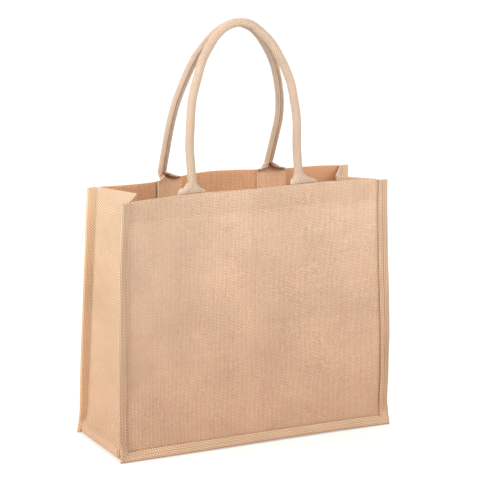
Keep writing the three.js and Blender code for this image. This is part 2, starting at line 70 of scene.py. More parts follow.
backwards = Vector((
    math.sin(AZIMUTH) * math.cos(ELEVATION),
    -math.cos(AZIMUTH) * math.cos(ELEVATION),
    math.sin(ELEVATION),
))
level = Vector((math.cos(AZIMUTH), math.sin(AZIMUTH), 0.0))
upright = backwards.cross(level)
right = level * math.cos(ROLL) + upright * math.sin(ROLL)
up = upright * math.cos(ROLL) - level * math.sin(ROLL)

camera_data = bpy.data.cameras.new("photo_camera")
camera_data.lens = LENS
camera_data.sensor_width = SENSOR
camera = bpy.data.objects.new("photo_camera", camera_data)
camera.matrix_world = (
    Matrix.Translation(AIM + backwards * DISTANCE)
    @ Matrix((right, up, backwards)).transposed().to_4x4()
)
bpy.context.scene.collection.objects.link(camera)
bpy.context.scene.camera = camera
print("camera at", [round(value, 3) for value in camera.location])

# %% [markdown]
# ## The sizes of the bag
#
# The sheets lie exactly where the solids are, so they are drawn from the same sizes, in
# millimetres. A fin is the flat edge, 14 mm wide, that stands out along each seam: there the strip's
# edge is folded round the panel's edge and stitched through all the layers.

# %% Sizes in millimetres
MM = 0.001
FRONT = -1
BACK = 1
LEFT = -1
RIGHT = 1

JUTE = 1.4
WEBBING = 1.8
GAP = 0.4  # between two cloths that are sewn together
FIN = 14.4
FOLD_OUTER = 1.5 * JUTE + GAP  # the strip's turn round a panel's edge: its outer radius
FOLD_INNER = JUTE / 2 + GAP
FOLD_MIDDLE = (FOLD_OUTER + FOLD_INNER) / 2
FOLD_AT = FIN - FOLD_OUTER
SHORT_OF_FOLD = 0.9
PANEL_IN_FIN = FOLD_AT - SHORT_OF_FOLD
BASE_SPLAY = 32  # degrees that the fins along the base lean out
FOOT = FOLD_AT * math.cos(math.radians(BASE_SPLAY)) + FOLD_OUTER  # height of the base's seams
CORNER = FOOT + 3  # where the side seams begin to turn into them
RIM = 336
BASE_HALF_WIDTH = 187
MOUTH_HALF_WIDTH = 180
BASE_HALF_DEPTH = 64
MOUTH_HALF_DEPTH = 50.7
HEM = 30
HEM_CLEAR_OF_SEAM = 5
print("the seams of the base stand", round(FOOT, 1), "mm above the floor")

# %% [markdown]
# Sewn cloth is never quite straight. These tables hold how far the fins, the rim and the
# panels differ from a plain box, as they were measured in the photograph.

# %% Fins, rim and swells, in millimetres
# The side fins, by height: how far each leans out, in degrees, its share of the full width, and how
# far its seam stands outside the straight line from the base to the mouth
BACK_FIN = [
    (CORNER, 32, 0.82, 0), (29, 8, 0.79, 0), (60, 5, 0.86, 0), (100, 3, 0.93, 0),
    (240, 3, 0.97, 0), (RIM, 3, 0.98, 0),
]
SIDE_FINS = {
    (FRONT, LEFT): [
        (CORNER, 32, 0.74, 1.5), (29, 7, 0.86, 1.6), (60, 4, 0.875, 1.8), (130, 6, 0.85, 2.2),
        (200, 10, 0.83, 2.4), (240, 12, 0.79, 3), (300, 21, 0.81, 2.6), (RIM, 26, 0.91, 1.2),
    ],
    (FRONT, RIGHT): [
        (CORNER, 32, 0.84, -1), (29, 0, 1, -2.5), (48, 2, 1, -1.9), (66, 4, 0.97, -0.4),
        (90, 6, 0.99, 0), (130, 16, 0.99, 1), (180, 18, 1.02, 0.2), (240, 12, 1.05, -1.1),
        (290, 12, 1.04, -1.2), (RIM, 12, 0.98, 0),
    ],
    (BACK, LEFT): BACK_FIN,
    (BACK, RIGHT): BACK_FIN,
}

# The fins along the base, by place across: share of the full width, and how far below the line
BASE_FINS = {
    FRONT: [
        (-187, 0.86, 1.4), (-158, 0.91, 0.4), (-120, 0.93, 0), (-60, 0.9, 0), (40, 0.85, 0),
        (110, 0.86, 0), (158, 0.91, 0.3), (187, 0.9, 1),
    ],
    BACK: [(-187, 1, 0), (187, 1, 0)],
}

# The wavy rim, by place across: how far it stands out of the straight line, and how far above RIM
RIMS = {
    FRONT: [
        (-180, 0, 0), (-150, -3, 0.6), (-112, -6.5, 1.1), (-75, -9.5, 1.2), (-40, -6, 1.2),
        (0, -3.5, 1.2), (50, -5.5, 1.2), (95, -8.5, 1.2), (130, -6, 1), (158, -5, 0.6), (180, 0, 0),
    ],
    BACK: [
        (-180, 0, 0), (-150, -3.5, 0), (-115, -5.5, 0.4), (-95, -2.5, 0.7), (-57, 10.5, 1.4),
        (-30, 18, 2.2), (-5, 20.5, 2.6), (22, 18.5, 2.2), (58, 11, 1.5), (98, 4.5, 1), (135, 4, 1),
        (180, 0, 0),
    ],
}

# Soft swells and hollows of the panels: place across, height, depth, spread across, spread up
SWELLS = {
    FRONT: [
        (-95, 235, -2.2, 55, 60), (70, 215, 1.6, 90, 50), (20, 95, -2.4, 120, 40),
        (-110, 60, 1.8, 60, 40), (130, 130, 1.2, 40, 70),
    ],
    BACK: [(90, 220, -2.5, 70, 60), (-60, 150, 2.2, 90, 70), (30, 60, -1.6, 100, 35)],
}

# %% [markdown]
# ## Curves through a few measured places
#
# Cloth bends smoothly between the places where it was measured. A cubic through each table does
# that, and holding its slope flat at every peak stops it swinging past the measured values.

# %% Smooth curves and blends
def lerp(start, end, share):
    return start + (end - start) * share


def ease(share):
    share = min(max(share, 0.0), 1.0)
    return share * share * (3 - 2 * share)


def curve_through(rows, value_at):
    """A smooth curve from a table's first column to the column value_at."""
    places = [row[0] for row in rows]
    values = [row[value_at] for row in rows]
    rises = [
        (values[k + 1] - values[k]) / (places[k + 1] - places[k]) for k in range(len(rows) - 1)
    ]
    slopes = [rises[0]]
    for before, after in zip(rises, rises[1:]):
        product = before * after
        slopes.append(2 * product / (before + after) if product > 0 else 0.0)
    slopes.append(rises[-1])

    def curve(place):
        place = min(max(place, places[0]), places[-1])
        k = 0
        while k < len(rows) - 2 and place > places[k + 1]:
            k += 1
        width = places[k + 1] - places[k]
        t = (place - places[k]) / width
        bend = (1 - t) * t * width
        return lerp(values[k], values[k + 1], ease(t)) + bend * (
            (1 - t) * slopes[k] - t * slopes[k + 1]
        )

    return curve


RIM_OUT = {side: curve_through(table, 1) for side, table in RIMS.items()}
RIM_UP = {side: curve_through(table, 2) for side, table in RIMS.items()}
SIDE_FIN_CURVES = {
    place: [curve_through(table, column) for column in (1, 2, 3)]
    for place, table in SIDE_FINS.items()
}
BASE_FIN_CURVES = {
    side: [curve_through(table, column) for column in (1, 2)] for side, table in BASE_FINS.items()
}


def side_fin(side, hand, z):
    """Lean in degrees, share of the full width, and how far its seam stands out."""
    return tuple(curve(z) for curve in SIDE_FIN_CURVES[side, hand])


def base_fin(side, x):
    """The same of a fin along the base."""
    return (BASE_SPLAY,) + tuple(curve(x) for curve in BASE_FIN_CURVES[side])


print("rim stands out by", round(RIM_OUT[BACK](0), 1), "mm at the middle of the back")

# %% [markdown]
# ## Where the cloth lies
#
# These few functions say where the seams run and where a panel's cloth lies between them. The bag
# narrows a little from its base to its mouth.

# %% Seams
def risen(z):
    """How far up the wall a height is, from 0 at the corner to 1 at the rim."""
    return max(z - CORNER, 0) / (RIM - CORNER)


def seam_x(z):
    return lerp(BASE_HALF_WIDTH, MOUTH_HALF_WIDTH, risen(z))


def seam_y(z):
    return lerp(BASE_HALF_DEPTH, MOUTH_HALF_DEPTH, risen(z))


print("half way up, the seams are", 2 * round(seam_x(RIM / 2)), "mm apart")

# %% [markdown]
# A little smooth noise makes the soft dents that jute keeps from being packed flat. It dies out at
# the seams, where three layers of cloth hold it, and small puckers take its place there. The
# handle's tabs read the same function as the panel, so they lie on the dented cloth.

# %% Dents and puckers
DENT = 0.75
DENT_SIZE = 46
FINE_DENT = 0.35  # as deep as this share of the broad dents
FINER = 2.3
PUCKER = 0.3
PUCKER_SIZE = 11
PUCKER_LENGTH = 40
PUCKER_REACH = 9
# Places in the noise, far enough apart for their patterns to differ
SEAM_PUCKERS, BASE_PUCKERS, PANEL_DENTS, STRIP_DENTS, FINE_DENTS = 3.7, 9.2, 11.3, 31.7, 7.1


def noise_at(*place):
    return noise.noise(Vector(place))


def dents(a, b, pattern):
    """Soft dents of cloth, in millimetres, at a place given in millimetres."""
    a = a / DENT_SIZE
    b = b / DENT_SIZE
    fine = noise_at(a * FINER, b * FINER, pattern + FINE_DENTS)
    return DENT * (noise_at(a, b, pattern) + FINE_DENT * fine)


def puckers(side, x, z):
    """Small puckers along the seams of a panel, in millimetres."""
    by_seam = noise_at(z / PUCKER_SIZE, SEAM_PUCKERS * side, x / PUCKER_LENGTH)
    by_base = noise_at(x / PUCKER_SIZE, BASE_PUCKERS * side, z / PUCKER_LENGTH)
    by_seam *= math.exp((abs(x) - seam_x(z)) / PUCKER_REACH)
    by_base *= math.exp((FOOT - z) / PUCKER_REACH)
    return PUCKER * (by_seam + by_base)


print("a dent of the front is", round(dents(0, RIM / 2, -PANEL_DENTS), 2), "mm deep at its middle")

# %% [markdown]
# The panel itself adds these to the straight line between the base and the mouth, together with the
# wave of its rim, which fades out downwards, and its broad swells.

# %% The lie of a panel
RIM_WAVE_FADE = 1.6
RIM_RISE_FADE = 4
STIFF_REACH = 6  # from a seam to where the cloth is free to dent
HELD_AT_SEAM = 8  # the higher these two are, the closer to its seams the cloth swells
HELD_AT_BASE = 9


def panel_y(side, x, z):
    """How deep a panel's cloth stands at a place across and a height."""
    across = x / seam_x(z)
    height = risen(z)
    wave = RIM_OUT[side](across * MOUTH_HALF_WIDTH) * height ** RIM_WAVE_FADE
    swell = sum(
        out * math.exp(-(((x - sx) / wide) ** 2) - ((z - sz) / high) ** 2)
        for sx, sz, out, wide, high in SWELLS[side]
    )
    loose = max(min((seam_x(z) - abs(x)) / STIFF_REACH, (z - FOOT) / STIFF_REACH, 1), 0)
    soft = (dents(x, z, PANEL_DENTS * side) + puckers(side, x, z)) * loose
    held = max(1 - across ** HELD_AT_SEAM, 0) * (1 - math.exp(-HELD_AT_BASE * height))
    return side * (seam_y(z) + wave + (swell + soft) * held)


def lifted(side, x, z):
    """The height with the rim's own rise, which fades out below it."""
    return z + RIM_UP[side](x / seam_x(z) * MOUTH_HALF_WIDTH) * risen(z) ** RIM_RISE_FADE


def corner_fin(side, hand, reach, below):
    """The side fin round a bottom corner, at a place inside it: it changes towards the mitre."""
    mitre = base_fin(side, hand * BASE_HALF_WIDTH)
    if below >= reach:
        return mitre
    start = side_fin(side, hand, CORNER)
    top = CORNER - FOOT + mitre[2]
    splay = mitre[1] * math.cos(math.radians(BASE_SPLAY))
    share = (top + below * splay) / (top + reach * splay)
    return BASE_SPLAY, lerp(start[1], mitre[1], share), lerp(start[2], mitre[2], share)


print("the mouth is", round(panel_y(BACK, 0, RIM) - panel_y(FRONT, 0, RIM)), "mm deep in its middle")

# %% [markdown]
# ## A sheet from rows of points
#
# A flat pattern piece becomes a grid of points: each point knows its place in the air and its place
# on the flat cloth. The first goes into the mesh, the second into a UV map in metres of cloth, so
# that the weave can follow every fold later. Solidify then gives the sheet its real thickness, half
# to each side, and closes the cut edges.

# %% The sheet maker
SHEET = 1.0  # one layer of jute, pressed, in the visual model
SHARP = math.radians(50)  # edges that turn by more than this stay sharp


def deselect_all():
    bpy.ops.object.select_all(action="DESELECT")


def placed_piece(mesh):
    """A new object for a mesh, with nothing but it selected."""
    piece = bpy.data.objects.new(mesh.name, mesh)
    bpy.context.scene.collection.objects.link(piece)
    deselect_all()
    bpy.context.view_layer.objects.active = piece
    piece.select_set(True)
    print(piece.name, len(mesh.polygons), "faces")
    return piece


def sheet_from(name, rows, flat_u, flat_v, thickness, even=True):
    """A sheet with its thickness. rows holds points in millimetres, or None where no cloth is."""
    shape = bmesh.new()
    cloth = shape.loops.layers.uv.new("cloth")
    points = [
        [shape.verts.new(point * MM) if point is not None else None for point in row] for row in rows
    ]
    for j in range(len(rows) - 1):
        for i in range(len(rows[0]) - 1):
            corners = ((j, i), (j, i + 1), (j + 1, i + 1), (j + 1, i))
            if any(points[row][column] is None for row, column in corners):
                continue
            face = shape.faces.new([points[row][column] for row, column in corners])
            for loop, (row, column) in zip(face.loops, corners):
                loop[cloth].uv = (flat_u[column] * MM, flat_v[row] * MM)
    loose = [vert for vert in shape.verts if not vert.link_faces]
    bmesh.ops.delete(shape, geom=loose, context="VERTS")
    mesh = bpy.data.meshes.new(name)
    shape.to_mesh(mesh)
    shape.free()
    piece = placed_piece(mesh)
    body = piece.modifiers.new("thickness", "SOLIDIFY")
    body.thickness = thickness * MM
    body.offset = 0.0
    body.use_even_offset = even
    bpy.ops.object.modifier_apply(modifier=body.name)
    bpy.ops.object.shade_smooth_by_angle(angle=SHARP)
    return piece


def spaced(start, end, count):
    return [lerp(start, end, k / (count - 1)) for k in range(count)]


def lengths_along(points):
    """How far along a line each of its points lies."""
    lengths = [0.0]
    for before, after in zip(points, points[1:]):
        lengths.append(lengths[-1] + (after - before).length)
    return lengths


# %% [markdown]
# ## The front and back panels
#
# Each panel is one flat piece of jute. Its side and bottom edges run into the fins, and its top edge
# is turned over inside and stitched down as a hem 30 mm deep. The turn is a real fold here: the rows
# go up to the rim, round a tiny half circle, and down again inside, but only between the seams,
# because the fins hold a single layer.

# %% Panels
PANEL_COLUMNS = 121
PANEL_ROWS = 92
HEM_ROWS = 9
FOLD_RADIUS = 0.55
MARGIN = [PANEL_IN_FIN, 8.5, 6, 4, 2.4, 1.1, 0]
PANEL_EASE = 4

# The hem's rows: the height of the cloth that each follows, how far it lies inwards and up from
# there, and how much cloth has passed since the turn began
HEM_TURNS = [math.radians(angle) for angle in (45, 90, 135, 180)]
HEM_STEPS = [
    (RIM - FOLD_RADIUS, FOLD_RADIUS * (1 - math.cos(turn)), FOLD_RADIUS * math.sin(turn),
     FOLD_RADIUS * turn)
    for turn in HEM_TURNS
] + [
    (z, 2 * FOLD_RADIUS, 0, FOLD_RADIUS * math.pi + RIM - FOLD_RADIUS - z)
    for z in spaced(RIM - FOLD_RADIUS, RIM - HEM, HEM_ROWS)[1:]
]


def panel_point(side, share, hand, reach, z, below):
    """A point of the panel's cloth: between the seams, or reach past one and below the other."""
    splay = math.radians(BASE_SPLAY)
    nearest = LEFT if share < 0 else RIGHT
    low = z < CORNER
    fin = corner_fin(side, nearest, reach, below) if low else side_fin(side, nearest, z)
    lean = math.radians(fin[0])
    _, base_width, base_out = base_fin(side, share * BASE_HALF_WIDTH)
    x = share * seam_x(z) + nearest * fin[2] * abs(share) ** PANEL_EASE
    x += hand * reach * fin[1] * math.cos(lean)
    if below > reach:
        y = side * (seam_y(z) + below * base_width * math.sin(splay))
    elif hand:
        y = side * (seam_y(z) + reach * fin[1] * math.sin(lean))
    else:
        y = panel_y(side, x, z)
    drop = base_out * ease((CORNER - z) / (CORNER - FOOT)) + below * base_width * math.cos(splay)
    height = z if hand else lifted(side, x, z)
    return Vector((x, y, height - drop))


def panel_cloth(name, side):
    inner_edge = (MOUTH_HALF_WIDTH - HEM_CLEAR_OF_SEAM) / MOUTH_HALF_WIDTH
    columns = [(-1, LEFT, reach) for reach in MARGIN]
    columns += [(share, 0, 0) for share in spaced(-inner_edge, inner_edge, PANEL_COLUMNS)]
    columns += [(1, RIGHT, reach) for reach in reversed(MARGIN)]
    heights = [(FOOT, reach) for reach in MARGIN[:-1]]
    heights += [(z, 0) for z in spaced(FOOT, RIM - FOLD_RADIUS, PANEL_ROWS)]
    rows = [
        [panel_point(side, *column, z, below) for column in columns] for z, below in heights
    ]
    flat_v = [z - FOOT - below for z, below in heights]
    for z, inwards, rise, beyond in HEM_STEPS:
        step = Vector((0, -side * inwards, rise))
        rows.append([
            None if hand else panel_point(side, share, hand, reach, z, 0) + step
            for share, hand, reach in columns
        ])
        flat_v.append(RIM - FOLD_RADIUS - FOOT + beyond)
    flat_u = [share * BASE_HALF_WIDTH + hand * reach for share, hand, reach in columns]
    if side == BACK:  # laid out from the other end, so that its outer face looks outwards too
        rows = [row[::-1] for row in rows]
        flat_u = flat_u[::-1]
    return sheet_from(name, rows, flat_u, flat_v, SHEET)


front_panel = panel_cloth("front_panel_cloth", FRONT)
back_panel = panel_cloth("back_panel_cloth", BACK)

# %% [markdown]
# ## The strip of the sides and the base
#
# One long strip runs down the left side, under the base and up the right side. Across the strip the
# cloth makes a fin, the wall, and the other fin. In each fin it starts with its raw edge turned
# under, lies on the panel's outer face, turns round the panel's edge, and comes back to the seam. So
# one cross-section is drawn as a line, and it is repeated at stations along the strip. The fin comes
# first, in millimetres along it and out of its middle plane.

# %% A fin's cross-section
TURN_AT = 1.45
TURN_RADIUS = 0.52
STITCH_AT = 3.2
OUTER_SINK = 0.28  # how far the stitches pull the fin's outer layers in
INNER_SINK = 0.2
UNDER = FOLD_MIDDLE - 0.22  # the raw edge that is turned under, out of the fin's middle plane
OVER = UNDER + 2 * TURN_RADIUS


def arc(along, off, radius, angles):
    turns = [math.radians(angle) for angle in angles]
    return [(along + radius * math.cos(turn), off + radius * math.sin(turn)) for turn in turns]


def fin_line(width):
    """The middle line of a fin's cloth: along the fin from the seam, and out of its middle plane."""
    return (
        [(6.5, UNDER), (4.2, UNDER), (2.4, UNDER)]
        + arc(TURN_AT, UNDER + TURN_RADIUS, TURN_RADIUS, range(-90, -271, -45))
        + [
            (2.3, OVER), (STITCH_AT, OVER - OUTER_SINK), (4.1, OVER - 0.05), (5.6, OVER - 0.12),
            (7.2 * width, lerp(OVER, FOLD_MIDDLE, 0.6)), (9.4 * width, lerp(OVER, FOLD_MIDDLE, 0.92)),
        ]
        + arc(FOLD_AT * width, 0, FOLD_MIDDLE, range(90, -91, -30))
        + [
            (9.0 * width, -FOLD_MIDDLE), (6.4 * width, -FOLD_MIDDLE), (4.3, -FOLD_MIDDLE),
            (STITCH_AT, INNER_SINK - FOLD_MIDDLE), (2.3, -FOLD_MIDDLE), (1.5, -FOLD_MIDDLE),
        ]
    )


def on_fin(station, side, along, off):
    """A place on a station's leaning fin: out of the wall, and in depth."""
    lean, _, out = station["fins"][side]
    lean = math.radians(lean)
    return (
        out + along * math.cos(lean) - off * math.sin(lean),
        side * (station["seam"] + along * math.sin(lean) + off * math.cos(lean)),
    )


print("a fin's line has", len(fin_line(1)), "points")

# %% [markdown]
# The wall runs from fin to fin. On the sides it is folded in towards the mouth, as a bag is that was
# sold flat, and the crease gets sharper as it rises. Near the floor the wall flares out to the soft
# edge of the base.

# %% The wall's cross-section
SEAM_FLAT = 0.03
BASE_EDGE = 0.055
STRIP_DENT = 0.8  # as deep as this share of the panels' dents
WALL_SHARES = (
    [0.03, 0.042, 0.056, 0.072, 0.09, 0.115, 0.145]
    + spaced(0.175, 0.385, 10)
    + [0.4, 0.415, 0.43, 0.445]
    + spaced(0.47, 0.825, 15)
    + [0.855, 0.885, 0.91, 0.928, 0.944, 0.958, 0.97]
)


def fold_shape(share, tip, sharpness):
    """How far the wall folds in at a share of its width, from 0 at the seams to 1 at the tip."""
    near = share if share < tip else 1 - share
    reach = tip if share < tip else 1 - tip
    u = min(max((near - SEAM_FLAT) / (reach - SEAM_FLAT), 0), 1)
    return lerp(math.sin(u * math.pi / 2), u, sharpness)


def wall_line(station):
    """The wall's part of the cross-section, from the front seam to the back one."""
    line = []
    for share in WALL_SHARES:
        edge = ease(min(share, 1 - share) / BASE_EDGE)
        n = station["flare"] * edge
        for side, from_seam in ((FRONT, share), (BACK, 1 - share)):
            n += station["fins"][side][2] * max(1 - from_seam / station["easing"], 0) ** 2
        n -= station["fold"] * fold_shape(share, station["tip"], station["sharpness"])
        y = lerp(-station["seam"], station["seam"], share)
        n += STRIP_DENT * edge * dents(y, station["place"], STRIP_DENTS) * station["loose"]
        line.append((n, y))
    return line


print("the wall's line has", len(WALL_SHARES), "points")

# %% [markdown]
# A station says where the cross-section stands and which way its outside looks: sideways on the side
# walls, downwards on the base. With it, each point of the line gets its place in the air.

# %% Rows across the strip
def in_the_air(station, n, y):
    """Where a place of the cross-section is, n out of the wall and y in depth."""
    way_x, way_z = station["away"]
    return Vector((station["x"] + way_x * n, y, station["z"] + way_z * n))


def strip_row(station):
    """One row of points across the strip: a fin, the wall, and the other fin."""
    front, back = [
        [on_fin(station, side, along, off) for along, off in fin_line(station["fins"][side][1])]
        for side in (FRONT, BACK)
    ]
    return [in_the_air(station, n, y) for n, y in front + wall_line(station) + back[::-1]]


def strip_hem_row(station, inwards, rise):
    """The wall's points alone, moved straight into the bag, and up."""
    wall = wall_line(station)
    row = []
    for k, place in enumerate(wall):
        run = Vector(wall[min(k + 1, len(wall) - 1)]) - Vector(wall[max(k - 1, 0)])
        run.normalize()
        n, y = Vector(place) - Vector((run.y, -run.x)) * inwards
        row.append(in_the_air(station, n, y) + Vector((0, 0, rise)))
    return row


# %% [markdown]
# The stations of the sides and of the base carry the numbers that shape their cross-sections.

# %% The strip's stations
SIDE_EASE = 0.2
BASE_EASE = 0.06
SIDE_FOLD = {LEFT: (29, 0.43), RIGHT: (39, 0.4)}  # how far in at the rim, and where across
FOLD_FADE = 0.6
DROP = FOOT - JUTE / 2
FLARE_HEIGHT = 10
FLARE_POWER = 1.3
SIDE_HEIGHTS = (
    spaced(CORNER, 30, 9)[:-1] + spaced(30, 60, 10)[:-1] + spaced(60, RIM - FOLD_RADIUS, 74)
)
BASE_END = 184
BASE_STATIONS = 74
ROUND_CORNER = 200  # along the strip from the middle of the base to a corner, for the dents


def side_station(hand, z):
    share = risen(z)
    inwards, tip = SIDE_FOLD[hand]
    return {
        "x": hand * seam_x(z), "z": z, "away": (hand, 0), "seam": seam_y(z),
        "fins": {side: side_fin(side, hand, z) for side in (FRONT, BACK)}, "easing": SIDE_EASE,
        "fold": inwards * share ** FOLD_FADE, "tip": tip, "sharpness": share * share,
        "flare": DROP * math.exp(-abs((z - FOOT) / FLARE_HEIGHT) ** FLARE_POWER),
        "loose": 1 - math.exp(-HELD_AT_BASE * share), "place": hand * (ROUND_CORNER + z),
    }


def base_station(x, away=(0, -1), flare=DROP, place=None):
    return {
        "x": x, "z": FOOT, "away": away, "seam": BASE_HALF_DEPTH,
        "fins": {side: base_fin(side, x) for side in (FRONT, BACK)}, "easing": BASE_EASE,
        "fold": 0, "tip": 0.5, "sharpness": 0, "flare": flare,
        "loose": 0, "place": x if place is None else place,
    }


LEFT_SIDE = [side_station(LEFT, z) for z in reversed(SIDE_HEIGHTS)]
BASE = [base_station(x) for x in spaced(-BASE_END, BASE_END, BASE_STATIONS)]
RIGHT_SIDE = [side_station(RIGHT, z) for z in SIDE_HEIGHTS]
print("stations:", len(LEFT_SIDE), "a side and", len(BASE), "along the base")

# %% [markdown]
# Round a bottom corner the outside turns from sideways to downwards, the fins meet in a mitre, and
# the wall rolls under in a soft edge. The stations there are mixed from their neighbours.

# %% Round the corners
BASE_ROUNDING = 9
MITRE_PLACE = 195
CORNER_STEPS = (0.2, 0.4, 0.6, 0.8)
CORNER_BULGE = 1.2
BASE_BULGE = 0.6


def between(start, end, share, bulge):
    """A station part of the way from one to another round a corner."""
    mixed = dict(start)
    for key in ("x", "z", "seam", "fold", "flare", "sharpness", "loose", "place", "easing"):
        mixed[key] = lerp(start[key], end[key], share)
    mixed["away"] = [lerp(a, b, share) for a, b in zip(start["away"], end["away"])]
    mixed["fins"] = {
        side: [lerp(a, b, share) for a, b in zip(start["fins"][side], end["fins"][side])]
        for side in (FRONT, BACK)
    }
    mixed["flare"] += bulge * math.sin(math.pi * share)
    return mixed


def corner_stations(hand):
    """From the side wall down and round to the base."""
    side = side_station(hand, CORNER)
    rounded = DROP - BASE_ROUNDING * (1 - math.sqrt(0.5))
    mitre = base_station(hand * BASE_HALF_WIDTH, (hand, -1), rounded, hand * MITRE_PLACE)
    base = base_station(hand * BASE_END)
    down = [between(side, mitre, share, CORNER_BULGE) for share in CORNER_STEPS]
    under = [between(mitre, base, share, BASE_BULGE) for share in CORNER_STEPS]
    return down + [mitre] + under


print("stations round a corner:", len(corner_stations(LEFT)))

# %% [markdown]
# The whole strip is its rows in order, with the hems' rows added at both ends. The hems are only as
# wide as the wall, so their rows hold no points for the fins.

# %% The strip
PLAIN_HEIGHT = 150  # the strip's map is measured across the wall here


def strip_cloth(name):
    stations = (
        LEFT_SIDE + corner_stations(LEFT) + BASE + corner_stations(RIGHT)[::-1] + RIGHT_SIDE
    )
    rows = [strip_row(station) for station in stations]
    flat_v = lengths_along([row[len(row) // 2] for row in rows])
    strip_length = flat_v[-1]
    no_fin = [None] * len(fin_line(1))
    for z, inwards, rise, beyond in HEM_STEPS:
        left, right = [
            no_fin + strip_hem_row(side_station(hand, z), inwards, rise) + no_fin
            for hand in (LEFT, RIGHT)
        ]
        rows = [left] + rows + [right]
        flat_v = [-beyond] + flat_v + [strip_length + beyond]
    flat_u = lengths_along(strip_row(side_station(LEFT, PLAIN_HEIGHT)))
    return sheet_from(name, rows, flat_u, flat_v, SHEET), flat_u[-1]


gusset, strip_width = strip_cloth("gusset_cloth")
print("the strip's map is", round(strip_width), "mm across")

# %% [markdown]
# ## The handles
#
# A handle is one length of cotton webbing, 40 mm wide. Its ends lie flat inside the hem as tabs.
# Above the rim the webbing is rolled until its two edges meet and turn in, and is sewn shut, which
# makes a round grip. The roll is drawn as a cross-section: the two edges curl up first, and the
# curls grow across the webbing until they meet, so the throat between them opens like the real one.

# %% The rolled section
TAB_WIDTH = 40
TAB_BELOW_RIM = 34
GRIP = 11.6
GRIP_RADIUS = (GRIP - WEBBING) / 2
EDGE_RADIUS = 1.0
EDGE_GAP = 0.15
BAND = 1.7  # the webbing's thickness in the visual model
CURL_POINTS = 17
TURN_POINTS = 7
LIP_POINTS = 3

SEAM_OFFSET = (WEBBING + EDGE_GAP) / 2 + EDGE_RADIUS
OPENING = math.asin(SEAM_OFFSET / (GRIP_RADIUS - EDGE_RADIUS))
CURL = (math.pi - OPENING) * GRIP_RADIUS
EDGE_TURN = math.pi / 2 + OPENING
TURNED = EDGE_TURN * EDGE_RADIUS


def heading(place, roll):
    """The angle at which the webbing runs at a place across it, when a share of it is curled up."""
    curled = min(max(place - (1 - roll) * CURL, 0.0), roll * CURL)
    turned = min(max(place - CURL, 0.0), TURNED)
    return curled / GRIP_RADIUS + roll * turned / EDGE_RADIUS


def rolled_section(roll):
    """Places across the handle, and from the webbing's middle line towards the seam of the roll."""
    places = spaced(0, CURL, CURL_POINTS) + spaced(CURL, CURL + TURNED, TURN_POINTS)[1:]
    places += spaced(CURL + TURNED, TAB_WIDTH / 2, LIP_POINTS)[1:]
    half = [(0.0, 0.0)]
    for inner, outer in zip(places, places[1:]):
        start = heading(inner, roll)
        bend = heading(outer, roll) - start
        chord = (outer - inner) * (math.sin(bend / 2) / (bend / 2) if bend else 1)
        across, off = half[-1]
        half.append((
            across + chord * math.cos(start + bend / 2), off + chord * math.sin(start + bend / 2),
        ))
    mirrored = [(-across, off) for across, off in reversed(half[1:])]
    return mirrored + half


print("each edge curls over", round(CURL, 1), "mm and turns in over", round(TURNED, 1), "mm")

# %% [markdown]
# The middle line of each grip was read from the photograph: the front handle leans a little to the
# left of its tabs, and the back one stands nearly upright. The left edges of the back tabs lie
# loose outside their stitches, which draws a thin dark line beside them.

# %% The handles' lines
# tabs: their places across. flat_top: where the flat tab ends, above the rim. throat: the height in
# which the webbing rolls up. wide: the share of it that stays flat. closing: how fast the roll then
# closes. slack: how far the throat bows out. top_depth: the depth of the top of the bow. lift: how
# far each tab's left edge stands off. line: the grip's middle, by place across and height
HANDLES = {
    "handle_front": {
        "side": FRONT, "tabs": {LEFT: -88, RIGHT: 75}, "flat_top": -1, "throat": 15.5,
        "wide": 0.2, "closing": 1.5, "slack": -2.5, "top_depth": -7.3, "lift": {LEFT: 0, RIGHT: 0},
        "line": [
            (-84.7, 352), (-85.3, 372), (-86, 394), (-83.3, 424), (-79.3, 454), (-69.4, 485),
            (-62, 504), (-53.4, 518), (-40.5, 534), (-25, 545), (-7, 548.8), (10.5, 544.5),
            (21.5, 536.5), (30.5, 528.5), (39.5, 518), (47, 505.5), (53.9, 492.5), (59.4, 479.5),
            (64, 466), (67, 448), (69.4, 430), (70, 412), (68.6, 390), (68.6, 370), (69.4, 352),
        ],
    },
    "handle_back": {
        "side": BACK, "tabs": {LEFT: -76, RIGHT: 77}, "flat_top": 1, "throat": 11,
        "wide": 0, "closing": 1.1, "slack": 0, "top_depth": 7.3, "lift": {LEFT: 1.5, RIGHT: 1.0},
        "line": [
            (-89.4, 350), (-88.4, 365), (-86.9, 384), (-85.5, 402), (-82.8, 424), (-79, 444),
            (-73.7, 462), (-64, 489), (-58, 501.5), (-49.7, 514), (-41, 525), (-26, 538.5),
            (-4, 546.5), (16, 540.5), (28.8, 530.5), (41.5, 515.4), (51.7, 500.5), (59.6, 486),
            (65.2, 471.5), (69.7, 457), (73.6, 441), (76, 423), (76.3, 408), (74.4, 390),
            (72.3, 372), (69.5, 350),
        ],
    },
}
print("the front grip is drawn through", len(HANDLES["handle_front"]["line"]), "places")

# %% [markdown]
# A smooth line through those places is walked in even steps. The same way of walking along a line
# lays out the stitches later.

# %% Smooth lines
STEPS_BETWEEN = 24


def stretches(lengths, targets):
    """For lengths along a line, in rising order: the stretch each falls in, and the share of it."""
    found = []
    k = 0
    for target in targets:
        while k < len(lengths) - 2 and lengths[k + 1] < target:
            k += 1
        found.append((k, (target - lengths[k]) / (lengths[k + 1] - lengths[k])))
    return found


